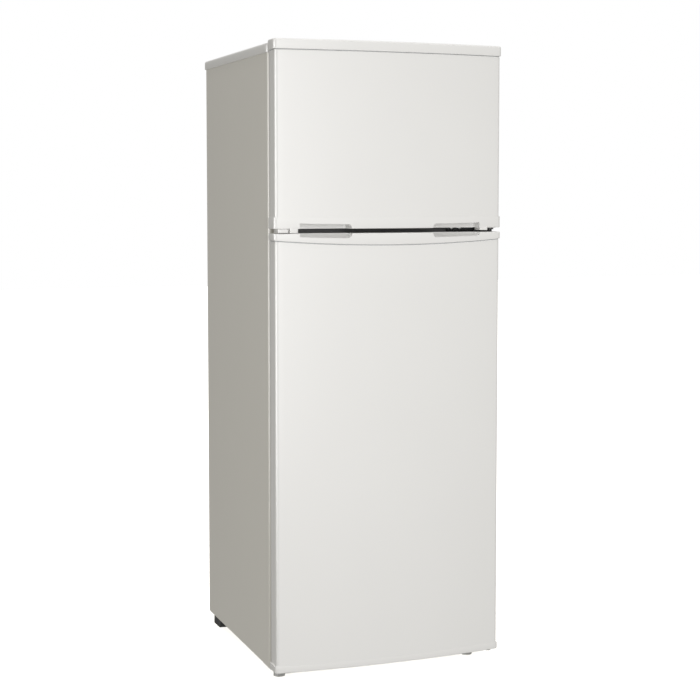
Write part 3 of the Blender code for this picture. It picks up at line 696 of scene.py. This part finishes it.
def door_skin(name, low, high):
    """A door's steel face: its lower edge meets the cap flush, its upper edge rolls in behind one."""
    rings = []
    turns = [(0.0, 3.2), (0.3, 1.8), (0.9, 0.7), (1.8, 0.1), (3.0, 0.0)]
    for lift, inset in ((0.0, 0.05), (0.05, 0.0), (1.4, 0.0), (3.0, 0.0)):
        rings.append([(x, y, low + lift) for x, y in door_ring(HALF_SHELL, 0, inset, DOOR_BACK)])
    for step in range(1, 10):
        share = step / 10
        ring = door_ring(HALF_SHELL, 0, 0, DOOR_BACK)
        rings.append([(x, y, low + 3 + (high(x) - low - 6) * share) for x, y in ring])
    for lift, inset in reversed(turns):
        rings.append([(x, y, high(x) - lift) for x, y in door_ring(HALF_SHELL, 0, inset, DOOR_BACK)])
    skin = loft(name, rings, closed=False, low_cap=False, high_cap=False)
    bm = bmesh.new()
    bm.from_mesh(skin.data)
    bm.normal_update()
    if sum(face.normal.y * face.calc_area() for face in bm.faces) > 0:
        bmesh.ops.reverse_faces(bm, faces=bm.faces)
        bm.to_mesh(skin.data)
    bm.free()
    hem_low, hem_high = low + 3, min(high(HALF_SHELL - 1) - 3, high(HALF_SHELL))
    hems = []
    for side in (-1, 1):
        x = tuple(sorted((side * HALF_SHELL, side * (HALF_SHELL - 14))))
        hems.append(
            slab(
                name + "_hem", x, (DOOR_BACK - STEEL, DOOR_BACK), (hem_low, hem_high), 0.3, 0.1, "Y", 1
            )
        )
    return together(thick(skin, STEEL), *hems)


def door_cap(name, low, high, low_edge=1.4, high_edge=3.0, out=1.0):
    """A moulded end cap, wider than the steel and `out` proud of its front."""
    rings = []
    for step in range(5):
        angle = math.pi / 2 * step / 4
        rise, inset = low_edge * (1 - math.cos(angle)), low_edge * (1 - math.sin(angle))
        ring = door_ring(HALF_TRIM, out, inset)
        rings.append([(x, y, (low(x) if callable(low) else low) + rise) for x, y in ring])
    for step in reversed(range(7)):
        angle = math.pi / 2 * step / 6
        drop, inset = high_edge * (1 - math.cos(angle)), high_edge * (1 - math.sin(angle))
        ring = door_ring(HALF_TRIM, out, inset)
        rings.append([(x, y, (high(x) if callable(high) else high) - drop) for x, y in ring])
    return loft(name, rings)


def bore(name, low, high, x=None):
    x = HINGE_X if x is None else x
    return turned(name, (x, HINGE_Y, 0), [(low, SOCKET_R), (high, SOCKET_R)], sides=40)


GRIP_INNER, GRIP_OUTER, GRIP_BACK = 98.0, 218.0, -30.0
GRIP_HIGH, GRIP_LOW = MEETING + 15.0, MEETING - 16.5


def grip_cutter(name, side, up):
    """The hollow of one finger grip, deeper behind its front edge in the upper door."""
    away = 1 if up else -1
    edge = GRIP_HIGH if up else GRIP_LOW
    rings = []
    if up:
        rows = [
            (-84.0, 0.0, 0.0), (-66.0, 0.0, 0.0), (-60.0, 0.6, 1.6), (-54.0, 1.2, 5.2),
            (-46.0, 1.6, 6.6)
        ]
        rows += [(-36.0, 2.2, 6.4), (-32.0, 3.4, 4.2), (GRIP_BACK, 6.0, -2.0)]
    else:
        rows = [
            (-84.0, -0.8, -3.2), (-68.0, 0.0, 0.0), (-63.0, 0.3, 1.6), (-56.0, 0.7, 4.2),
            (-49.0, 1.3, 7.4)
        ]
        rows += [(-45.0, 2.8, 9.8), (-43.0, 5.5, 11.6), (-42.0, 9.0, 14.0)]
    for y, inset, change in rows:
        level = edge + change
        inner, outer = side * (GRIP_INNER + inset), side * (GRIP_OUTER - inset)
        ring = [(outer, MEETING - away * 3), (inner, MEETING - away * 3)]
        radius = min(9.0, abs(level - MEETING) - 0.5)
        for step in range(9):
            angle = math.radians(90 * step / 8)
            ring.append((
                inner + side * radius * (1 - math.cos(angle)),
                level - away * radius * (1 - math.sin(angle)),
            ))
        small = min(2.0, radius / 2)
        for step in range(5):
            angle = math.radians(90 * step / 4)
            ring.append((
                outer - side * small * (1 - math.sin(angle)),
                level - away * small * (1 - math.cos(angle)),
            ))
        rings.append([(x, y, z) for x, z in ring])
    return loft(name, rings)


top_z = span("freezer_door_top_cap")[2]
CAP_UNDER = 1407.0
RECESS_FLOOR = 1411.0
top_cap = door_cap("freezer_door_top_cap_shape", CAP_UNDER, top_z[1], 2.4, 4.0)
recess = slab("recess", (241, 290), (HINGE_Y - 17.5, 2), (RECESS_FLOOR, 1440), 5.0, 0.3)
boss = turned("hinge_boss", (HINGE_X, HINGE_Y, 0), [(1392.0, 9.4), (1392.6, 10.0), (1407.5, 10.0)])
top_cap = carve(top_cap, recess, bore("socket", 1400.0, RECESS_FLOOR + 2))
boss = carve(boss, bore("socket", 1380.0, 1420.0))
shown(together(top_cap, boss), "freezer_door_top_cap")
FREEZER_SEAM = span("freezer_door_bottom_cap")[2][1]
shown(
    door_skin("freezer_door_skin_shape", FREEZER_SEAM + FLUSH, lambda x: CAP_UNDER - SEAM),
    "freezer_door_skin"
)
bottom_cap = door_cap("freezer_door_bottom_cap_shape", MEETING + 5, FREEZER_SEAM, 2.2, 0.05, 0.0)
cutters = [grip_cutter(f"grip_{side}", side, True) for side in (-1, 1)]
cutters += [
    bore("pin_way", MEETING + 3, MEETING + 21), bore("plug_way", MEETING + 3, MEETING + 19, -HINGE_X)
]
bottom_cap = carve(bottom_cap, *cutters)
# Stop pads: the left one fills the gap, the right one leaves room for the hinge leaf.
PAD_INNER, PAD_OUTER = 220.0, 239.0
for side, pad_low in ((-1, MEETING - 4.0), (1, MEETING - 0.7)):
    x = tuple(sorted((side * PAD_INNER, side * PAD_OUTER)))
    bottom_cap = together(
        bottom_cap, slab(f"stop_pad_{side}", x, (-57, -24), (pad_low, MEETING + 6.5), 3.0, 0.8)
    )
shown(bottom_cap, "freezer_door_bottom_cap", "white_steel")

bottom_z = span("fridge_door_bottom_cap")[2]
base_seam = bottom_z[1]
shown(door_skin("fridge_door_skin_shape", base_seam + FLUSH, lambda x: seam(x) - SEAM), "fridge_door_skin")
fridge_top = door_cap("fridge_door_top_cap_shape", seam, MEETING - 5, 2.4, 2.2)
cutters = [grip_cutter(f"grip_{side}", side, False) for side in (-1, 1)]
cutters.append(bore("pin_way", MEETING - 18, MEETING - 1))
shown(carve(fridge_top, *cutters), "fridge_door_top_cap")
base_cap = door_cap("fridge_door_bottom_cap_shape", bottom_z[0], bottom_z[1], 2.2, 0.05, 0.0)
shown(carve(base_cap, bore("pin_way", 20.0, 37.0)), "fridge_door_bottom_cap", "white_steel")

plug_z = span("hinge_hole_plug")[2]
profile = [(MEETING + 3.0, 3.8), (MEETING + 4.0, 4.6), (plug_z[1] - 1.5, 4.4), (plug_z[1], 3.4)]
head = slab("plug_head", (-266, -241), (-56, -22), (MEETING - 3.4, MEETING + 4.7), 5.0, 0.6)
stem = turned("hinge_hole_plug_shape", (-HINGE_X, HINGE_Y, 0), profile)
shown(together(stem, head), "hinge_hole_plug")


def door_liner(node, space, crest, ribs):
    """The thermoformed inner panel: plate, raised ring with soft corners, and a ribbed middle."""
    plate_x, plate_y, plate_z = span(node)
    back = plate_y[0]
    face = back + 1.5
    ring_x, ring_z = (-212.0, 212.0), (space[2][0] + 8, space[2][1] - 8)
    crest = plate_y[1]
    rings = []
    for inset, y in ((0.6, back), (0.0, back + 0.4), (0.0, face - 0.4), (0.6, face)):
        ring = round_rect(
            (plate_x[0] + inset, plate_x[1] - inset), (plate_z[0] + inset, plate_z[1] - inset), 8, 8
        )
        rings.append([(a, y, b) for a, b in ring])
    wall = [(-3.0, face), (-1.0, face + 0.5), (0.0, face + 2.5), (0.0, crest - 4.5), (0.7, crest - 2.0)]
    wall += [(2.4, crest - 0.4), (4.4, crest), (7.4, crest), (9.6, crest - 0.5), (11.3, crest - 2.4)]
    wall += [(12.0, crest - 5.0), (12.0, face + 6.0), (13.2, face + 2.2), (15.8, face + 0.4), (19.0, face)]
    for inset, y in wall:
        ring = round_rect(
            (ring_x[0] + inset, ring_x[1] - inset), (ring_z[0] + inset, ring_z[1] - inset),
            22 - min(inset, 16), 8
        )
        rings.append([(a, y, b) for a, b in ring])
    pieces = [loft(node + "_shape", rings)]
    for low, high in ribs:
        pieces.append(slab("rib", (-165, 165), (face - 0.5, face + 2.2), (low, high), 9.0, 2.2, "Y", 4))
    return shown(together(*pieces), node)


FREEZER = ((-221.0, 221.0), (0.0, 440.0), (span("freezer_liner")[2][0] + 13.5, 1350.0))
FRIDGE = ((-226.0, 226.0), (0.0, 455.0), (90.0, span("fridge_liner")[2][1] - 13.5))
door_liner("freezer_door_liner", FREEZER, 24.0, [(1190, 1225), (1240, 1275), (1290, 1322)])
ribs = [(250, 290), (305, 345), (360, 400), (415, 455), (470, 510), (525, 565)]
ribs += [(690, 730), (745, 785), (800, 840), (855, 895)]
door_liner("fridge_door_liner", FRIDGE, 34.0, ribs)

for node in ("freezer_door_gasket", "fridge_door_gasket"):
    (low_x, high_x), (low_y, high_y), z = span(node)
    tall = high_y - low_y
    profile = [
        (0.6, low_y), (0.0, low_y + 0.12 * tall), (2.0, low_y + 0.25 * tall),
        (2.4, low_y + 0.38 * tall)
    ]
    profile += [(0.6, low_y + 0.5 * tall), (0.2, low_y + 0.65 * tall), (0.4, high_y - 0.5), (1.4, high_y)]
    profile += [
        (14.2, high_y), (15.6, high_y - 0.6), (15.4, low_y + 0.6 * tall), (13.4, low_y + 0.5 * tall)
    ]
    profile += [
        (13.2, low_y + 0.38 * tall), (15.4, low_y + 0.25 * tall), (16.6, low_y + 0.1 * tall),
        (17.0, low_y)
    ]
    shown(hoop(node + "_shape", profile, (low_x, high_x), z, 6.0), node)

for node, rail in (
    ("freezer_door_rack", 40.0), ("fridge_door_bin_lower", 48.0), ("fridge_door_bin_upper", 40.0)
):
    x, y, z = span(node)
    low_side = z[0] + 30.0

    def rim(b, y=y, z=z, low_side=low_side):
        t = min(max((b - y[0] - 14.0) / 24.0, 0.0), 1.0)
        return low_side + (z[1] - low_side) * t * t * (3 - 2 * t)

    tray = tub(node + "_shape", x, y, z, 2.4, 12.0, lip=0.0, top=rim)
    bars = [
        slab(
            "bar", (x[0] + 16, x[1] - 16), (y[1] - 0.8, y[1] + 0.9),
            (z[1] - rail + step * 11.0, z[1] - rail + 3.0 + step * 11.0), 1.4, 0.7, "Y", 2
        )
        for step in range(2)
    ]
    shown(together(tray, *bars), node)

# Hinges and the bits in the gap between the doors

for node in ("top_hinge_bracket", "middle_hinge_bracket", "bottom_hinge_bracket", "foot_bracket_left"):
    refined(node, 0.35, 2, "black_steel" if "middle" in node else None)
spacer_z = span("middle_hinge_spacer")[2]
profile = [
    (spacer_z[0], SOCKET_R), (spacer_z[0], 11.6), (spacer_z[0] + 0.6, 12.5), (spacer_z[1] - 0.6, 12.5)
]
profile += [(spacer_z[1], 11.6), (spacer_z[1], SOCKET_R), (spacer_z[0], SOCKET_R)]
ring_rows = []
for place, radius in profile:
    ring_rows.append([(*spot, place) for spot in turn((HINGE_X, HINGE_Y), radius, 0, 352.5, 47)])
shown(loft("middle_hinge_spacer_shape", ring_rows, low_cap=False, high_cap=False), "middle_hinge_spacer")
for node in ("middle_hinge_screw_1", "middle_hinge_screw_2"):
    x, y, z = span(node)
    at = (sum(x) / 2, y[1], sum(z) / 2)
    head = screw_head(node + "_shape", at, (x[1] - x[0]) / 2, "Y", -1, node, y[1] - y[0])
    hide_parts(node)
blank = slab("rail_blank_plate_shape", *span("rail_blank_plate"), 3.0, 0.9, "Y", 4)
shown(blank, "rail_blank_plate")

# Feet

for node in ("front_foot_left", "front_foot_right"):
    x, y, z = span(node)
    at = (sum(x) / 2, sum(y) / 2, 0)
    size = (x[1] - x[0]) / 2
    profile = [
        (0.0, size - 2.0), (0.4, size - 0.6), (1.4, size - 0.1), (2.2, size - 0.1), (2.8, size - 0.3)
    ]
    profile += [
        (8.4, size - 0.3), (9.4, size - 1.0), (10.2, size - 2.2), (10.5, size - 4.0), (10.5, 6.0),
        (11.0, 3.9)
    ]
    pad = turned(node + "_shape", at, profile, sides=96, flutes=16, flute_depth=0.9, flute_rows=(4, 5))
    thread = [(11.0, 3.9)]
    turns_count = int((z[1] - 12.0) / 1.25)
    for step in range(turns_count):
        level = 11.4 + step * 1.25
        thread += [(level, 3.45), (level + 0.55, 3.9), (level + 0.7, 3.9)]
    thread += [(z[1] - 0.6, 3.7), (z[1], 3.1)]
    shown(together(pad, turned("thread", at, thread, sides=32)), node)
for node in ("rear_foot_left", "rear_foot_right"):
    x, y, z = span(node)
    block = slab(node + "_shape", x, y, z, 4.0, 1.6)
    ribs = [
        slab("rib", (x[0], x[1]), (y[0] + 8 + 9 * step, y[0] + 11 + 9 * step), (3, z[1] - 4), 0.6, 0.5)
        for step in range(4)
    ]
    shown(together(block, *ribs), node)

# Compartments


def cavity_outline(grow):
    (_, (_, back), (low, high)) = FRIDGE
    hump_front, hump_top = 262.0, 300.0
    return [
        (-30.0, low - grow),
        (hump_front + grow, low - grow),
        (hump_front + grow, hump_top - grow),
        (back + grow, hump_top - grow),
        (back + grow, high + grow),
        (-30.0, high + grow),
    ]


def prism(name, outline, low, high, radius):
    """A side-view outline drawn along X, with its edges rounded."""
    rings = [[(x, y, z) for y, z in outline] for x in (low, high)]
    block = loft(name, rings)
    bm = bmesh.new()
    bm.from_mesh(block.data)
    bmesh.ops.dissolve_limit(bm, angle_limit=0.02, verts=bm.verts, edges=bm.edges)
    bm.to_mesh(block.data)
    bm.free()
    return rounded(block, radius, 6, 30.0)


def compartment(node, space, outline, flange_z, ledge_spans):
    """A cabinet liner: a flange behind the steel face, a pocket with soft corners, and ledges."""
    (left, right), _, _ = space
    front = span(node)[1][0]
    outer = prism(node + "_shape", outline(1.5), left - 1.5, right + 1.5, 15.5)
    trim = slab("front_trim", (-300, 300), (-80, front), (0, 1500), 1.0, 0.1, "Y", 1)
    outer = carve(outer, trim)
    flange = slab(node + "_flange", (-240, 240), (front, front + 1.5), flange_z, 6.0, 0.3, "Y", 2)
    joined = flange.modifiers.new("join", "BOOLEAN")
    joined.operation, joined.solver, joined.object = "UNION", "EXACT", outer
    applied(flange)
    bpy.data.objects.remove(outer)
    flange.name = node + "_shape"
    inner = prism("space", outline(0.0), left, right, 14.0)
    pocket = carve(flange, inner)
    bits = []
    for level, start, end in ledge_spans:
        for side, wall in ((-1, left), (1, right)):
            x = tuple(sorted((wall + side * 0.8, wall - side * 12.0)))
            bits.append(slab("ledge", x, (start, end), (level - 8, level), 5.0, 1.5, "Z", 3))
    return shown(together(pocket, *bits), node)


def freezer_outline(grow):
    (_, (_, back), (low, high)) = FREEZER
    return [
        (-30.0, low - grow), (back + grow, low - grow), (back + grow, high + grow),
        (-30.0, high + grow)
    ]


SHELVES = [span("shelf_lower")[2][0] - 0.3, span("shelf_upper")[2][0] - 0.3]
levels = [(SHELVES[0], 110, 430), (SHELVES[1], 110, 430), (span("crisper_cover")[2][0] - 0.3, 100, 250)]
compartment("fridge_liner", FRIDGE, cavity_outline, span("fridge_liner")[2], levels)
freezer_level = span("freezer_shelf")[2][0] - 0.3
compartment("freezer_liner", FREEZER, freezer_outline, span("freezer_liner")[2], [(freezer_level, 90, 400)])

for node in ("shelf_lower", "shelf_upper", "crisper_cover"):
    x, y, z = span(node)
    shown(slab(node + "_shape", x, (y[0] + 3, y[1] - 2), (z[0] + 0.2, z[1] - 0.4), 4.0, 0.8), node)
    front_trim = slab(node + "_front_trim", x, (y[0], y[0] + 11), z, 2.0, 1.2)
    shown(front_trim, node, "wire_white", extra=True)
    back_trim = slab(node + "_back_trim", x, (y[1] - 9, y[1]), z, 2.0, 1.2)
    shown(back_trim, node, "wire_white", extra=True)

x, y, z = span("freezer_shelf")
middle = (z[0] + z[1]) / 2
wires = [
    slab("wire", (x[0], x[1]), (at, at + 3.4), z, 1.7, 1.7, "X", 3) for at in (y[0], y[1] - 3.4, sum(y) / 2)
]
count = 27
for step in range(count):
    at = x[0] + 9 + (x[1] - x[0] - 18) * step / (count - 1)
    wires.append(
        slab("wire", (at - 1.1, at + 1.1), (y[0] + 1, y[1] - 1), (z[1] - 2.2, z[1]), 1.1, 1.1, "Y", 3)
    )
shown(together(*wires), "freezer_shelf", "wire_white")
bpy.context.view_layer.update()

x, y, z = span("crisper_drawer")
drawer = tub("crisper_drawer_shape", (x[0] + 4, x[1] - 4), (y[0] + 4, y[1]), z, 2.5, 14.0)
front_rail = slab("crisper_rim", x, (y[0], y[0] + 4.6), (z[1] - 44, z[1]), 1.5, 1.3, "X", 3)
shown(together(drawer, front_rail), "crisper_drawer")

x, y, z = span("evaporator_plate")
plate = slab("evaporator_plate_shape", x, y, z, 12.0, 0.6, "Y", 3)
channels = []
for step in range(7):
    level = z[0] + 35 + step * 50
    channels.append(
        slab(
            "channel", (x[0] + 22, x[1] - 22), (y[0] - 2.0, y[0] + 0.5), (level - 5, level + 5), 5.0,
            2.2, "Y", 4
        )
    )
    if step < 6:
        side = x[1] - 32 if step % 2 else x[0] + 22
        channels.append(
            slab(
                "bend", (side, side + 10), (y[0] - 2.0, y[0] + 0.5), (level - 5, level + 55), 5.0, 2.2,
                "Y", 4
            )
        )
shown(together(plate, *channels), "evaporator_plate")

x, y, z = span("thermostat_housing")
housing = slab("thermostat_housing_shape", (x[0], x[1]), y, z, 10.0, 3.0, "X", 5)
switch_x, switch_y, switch_z = span("door_switch")
switch_at = (sum(switch_x) / 2, 0, sum(switch_z) / 2)
way = turned("way", switch_at, [(30.0, 3.5), (80.0, 3.5)], "Y", 32)
shown(carve(housing, way), "thermostat_housing")
lens = [
    slab(
        "lamp_lens", (x[0] - 1.2, x[0] + 1), (y[0] + 190, y[1] - 14), (z[0] + 10, z[1] - 10), 6.0, 1.0,
        "X", 3
    )
]
for step in range(11):
    at = y[0] + 197 + step * 8.6
    lens.append(
        slab(
            "lens_rib", (x[0] - 2.4, x[0] - 0.6), (at, at + 3.6), (z[0] + 14, z[1] - 14), 1.6, 1.0,
            "X", 2
        )
    )
shown(together(*lens), "thermostat_housing", "lamp_lens", extra=True)

x, y, z = span("thermostat_knob")
dial = (0, sum(y) / 2, sum(z) / 2)
size = (z[1] - z[0]) / 2
profile = [
    (x[1], size - 0.6), (x[1] - 0.6, size), (x[1] - 3.4, size), (x[1] - 4.2, size - 1.0),
    (x[0] + 6.5, size - 2.0)
]
profile += [(x[0] + 4.8, size - 3.2), (x[0] + 4.0, size - 5.5)]
knob = turned("thermostat_knob_shape", dial, profile, "X", 72, 24, 0.5, (1, 2))
bar = slab(
    "knob_grip", (x[0], x[0] + 7), (dial[1] - 2.6, dial[1] + 2.6), (dial[2] - 12.5, dial[2] + 12.5),
    2.4, 1.2, "X", 4
)
shown(together(knob, bar), "thermostat_knob")
pointer = slab(
    "knob_pointer", (x[0], x[0] + 0.5), (dial[1] - 0.5, dial[1] + 0.5), (dial[2] + 5, dial[2] + 11),
    0.4, 0.2, "X", 1
)
shown(pointer, "thermostat_knob", "mark_grey", extra=True)
face = span("thermostat_housing")[0][0]
ticks = []
for step in range(7):
    tick = slab(
        "tick", (face - 0.15, face + 0.2), (-0.45, 0.45), (size + 2.2, size + 5.4), 0.3, 0.1, "X", 1
    )
    spin = Matrix.Rotation(math.radians(-120 + 40 * step), 4, "X")
    centre = Matrix.Translation(point(0, dial[1], dial[2]) - Vector((0, 0, 0)))
    home = Matrix.Translation(-point(0, 0, 0))
    tick.data.transform(centre @ spin @ home)
    ticks.append(tick)
shown(together(*ticks), "thermostat_housing", "mark_grey", extra=True)
profile = [(switch_y[0], 1.6), (switch_y[0] + 0.3, 2.6), (switch_y[0] + 1.2, 3.2), (switch_y[1], 3.2)]
shown(turned("door_switch_shape", switch_at, profile, "Y", 32), "door_switch")

# Compressor bay

x, y, z = span("compressor")
CASE = (70.0, 415.0, 0)
CASE_RADIUS = 76.0
case = [
    (62.0, 40.0), (62.4, 49.0), (64.5, 58.0), (69.0, 66.0), (76.0, 72.0), (86.0, 75.2), (96.0, 76.0),
    (117.0, 76.0)
]
case += [
    (118.0, 77.4), (121.0, 77.8), (124.0, 77.4), (125.0, 75.6), (150.0, 75.0), (160.0, 72.5),
    (170.0, 66.0)
]
case += [(176.5, 57.0), (180.5, 45.0), (182.0, 30.0), (182.0, 8.0)]
case = [(level, min(radius, CASE_RADIUS)) for level, radius in case]
pieces = [
    turned("compressor_shape", CASE, case, sides=96),
    slab("compressor_feet", (-25, 165), (352, 478), (48, 51), 22.0, 0.8),
    turned("compressor_pad", CASE, [(49.0, 46.0), (55.0, 50.0), (66.0, 56.0)], sides=64),
    slab("compressor_terminal", (-18, 20), (398, 432), (95, 135), 5.0, 2.0, "X", 3),
    turned(
        "seam_weld", CASE, [(119.4, 75.5), (119.8, 76.6), (121.0, 77.0), (122.2, 76.6), (122.6, 75.5)],
        sides=96
    ),
]
shown(together(*pieces), "compressor")
for number in range(1, 5):
    node = f"compressor_grommet_{number}"
    x, y, z = span(node)
    at = (sum(x) / 2, sum(y) / 2, 0)
    size = (x[1] - x[0]) / 2
    tall = z[1] - z[0]
    rows = [
        (0.0, 0.9), (0.06, 1.0), (0.3, 0.98), (0.4, 0.8), (0.5, 0.74), (0.6, 0.8), (0.7, 0.88),
        (0.94, 0.84), (1.0, 0.74)
    ]
    grommet = turned(
        node + "_shape", at, [(z[0] + tall * rise, size * share) for rise, share in rows], sides=40
    )
    shown(grommet, node)
    screw_head(f"grommet_bolt_{number}", (at[0], at[1], 51.0), 5.5, "Z", 1, "compressor_base", 3.0)
x, y, z = span("relay_box")
relay = [slab("relay_box_shape", x, y, z, 5.0, 2.5, "X", 4)]
for step in range(4):
    level = z[0] + 12 + step * 12
    relay.append(
        slab(
            "rib", (x[0], x[0] + 2.0), (y[0] + 8, y[1] - 8), (level - 1.2, level + 1.2), 1.0, 0.6, "X",
            2
        )
    )
shown(together(*relay), "relay_box")
x, y, z = span("evaporation_tray")
tray = tub("evaporation_tray_shape", (x[0], x[1] - 6), y, z, 2.5, 9.0, lip=1.5)
lug = slab("tray_rim", (x[1] - 9, x[1]), (y[0] + 6, y[1] - 6), (z[1] - 3, z[1]), 2.0, 0.8)
shown(together(tray, lug), "evaporation_tray")
refined("compressor_base", 0.3, 2)
suction = [(-8.0, 440.0, 160.0), (-40.0, 470.0, 160.0), (-110.0, 480.0, 160.0), (-110.0, 480.0, 60.0)]
suction += [(-200.0, 480.0, 60.0), (-200.0, 480.0, 235.0)]
shown(pipe("suction_tube_shape", suction, 3.4, 22.0), "suction_tube")
x, y, z = span("cord_gland")
at = (sum(x) / 2, 0, sum(z) / 2)
profile = [
    (y[0], 8.0), (y[0] + 1.6, 8.0), (y[0] + 2.0, 6.6), (y[0] + 3.6, 6.6), (y[0] + 4.0, 7.6),
    (y[1] - 0.8, 7.2), (y[1], 6.2)
]
profile += [(y[1], 3.4), (y[0] + 3.0, 3.2)]
shown(turned("cord_gland_shape", at, profile, "Y", 40), "cord_gland")

# Floor, world and lights

bm = bmesh.new()
bmesh.ops.create_grid(bm, x_segments=24, y_segments=24, size=14.0)
floor = made("floor", bm)
sweep = Graph("floor")
distance = sweep.add("ShaderNodeVectorMath", operation="LENGTH")
sweep.link(sweep.spot, distance.inputs[0])
# Darker near the cabinet and pale farther out: a painted contact shadow around the fridge.
reach = sweep.ranged(distance.outputs["Value"], 0.0, 1.0, 0.5, 2.4)
painted_floor_shadow = sweep.mixed(reach, (0.90, 0.885, 0.85), (0.99, 0.985, 0.965))
fleck = sweep.mixed(sweep.ranged(sweep.noise(400.0), 0.0, 0.05), painted_floor_shadow, (0.88, 0.87, 0.85))
sweep.link(fleck, sweep.shader.inputs["Base Color"])
sweep.link(sweep.ranged(sweep.noise(150.0), 0.55, 0.7), sweep.shader.inputs["Roughness"])
sweep.shader.inputs["Specular IOR Level"].default_value = 0.1
floor.data.materials.append(sweep.material)
# The floor throws no light back, so that the cabinet sides stay evenly shaded.
floor.visible_diffuse = False
floor.visible_glossy = False
stage_only = bpy.data.collections.new("stage_only")
stage_only.objects.link(floor)

AMBIENT = 0.45
world = bpy.data.worlds.new("studio")
bpy.context.scene.world = world
world.use_nodes = True
tree = world.node_tree
tree.nodes.clear()
out = tree.nodes.new("ShaderNodeOutputWorld")
pick = tree.nodes.new("ShaderNodeMixShader")
rays = tree.nodes.new("ShaderNodeLightPath")
white = tree.nodes.new("ShaderNodeBackground")
white.inputs["Color"].default_value = (1.0, 1.0, 1.0, 1.0)
white.inputs["Strength"].default_value = 1.0
ambient = tree.nodes.new("ShaderNodeBackground")
ambient.inputs["Color"].default_value = (1.0, 0.985, 0.94, 1.0)
ambient.inputs["Strength"].default_value = AMBIENT
tree.links.new(rays.outputs["Is Camera Ray"], pick.inputs["Fac"])
tree.links.new(ambient.outputs["Background"], pick.inputs[1])
tree.links.new(white.outputs["Background"], pick.inputs[2])
tree.links.new(pick.outputs["Shader"], out.inputs["Surface"])


def lamp(name, kind, at, aim, energy, **settings):
    data = bpy.data.lights.new(name, kind)
    data.energy = energy
    for key, value in settings.items():
        setattr(data, key, value)
    obj = bpy.data.objects.new(name, data)
    obj.location = at
    obj.rotation_euler = (Vector(aim) - Vector(at)).to_track_quat("-Z", "Y").to_euler()
    obj.visible_camera = False
    bpy.context.scene.collection.objects.link(obj)
    return obj


lamp("overhead", "SUN", (0.0, 0.0, 4.0), (0.0, 0.0, 0.0), 1.4, angle=math.radians(24))
lamp("key", "AREA", (-0.35, -2.8, 1.12), (-0.1, 0.0, 0.6), 38.0, shape="RECTANGLE", size=0.6, size_y=2.2)
# A card at the left adds gloss alone: it draws the bright line on the rolled corner.
card = lamp(
    "card", "AREA", (-2.6, -0.6, 0.9), (-0.27, 0.0, 0.8), 160.0, shape="RECTANGLE", size=1.4,
    size_y=2.4
)
card.visible_diffuse = False
# This sun reaches only the floor and casts no shadow, which keeps the ground white.
fill = lamp("floor_fill", "SUN", (0.0, 0.0, 5.0), (0.0, 0.0, 0.0), 3.0)
fill.data.use_shadow = False
fill.light_linking.receiver_collection = stage_only
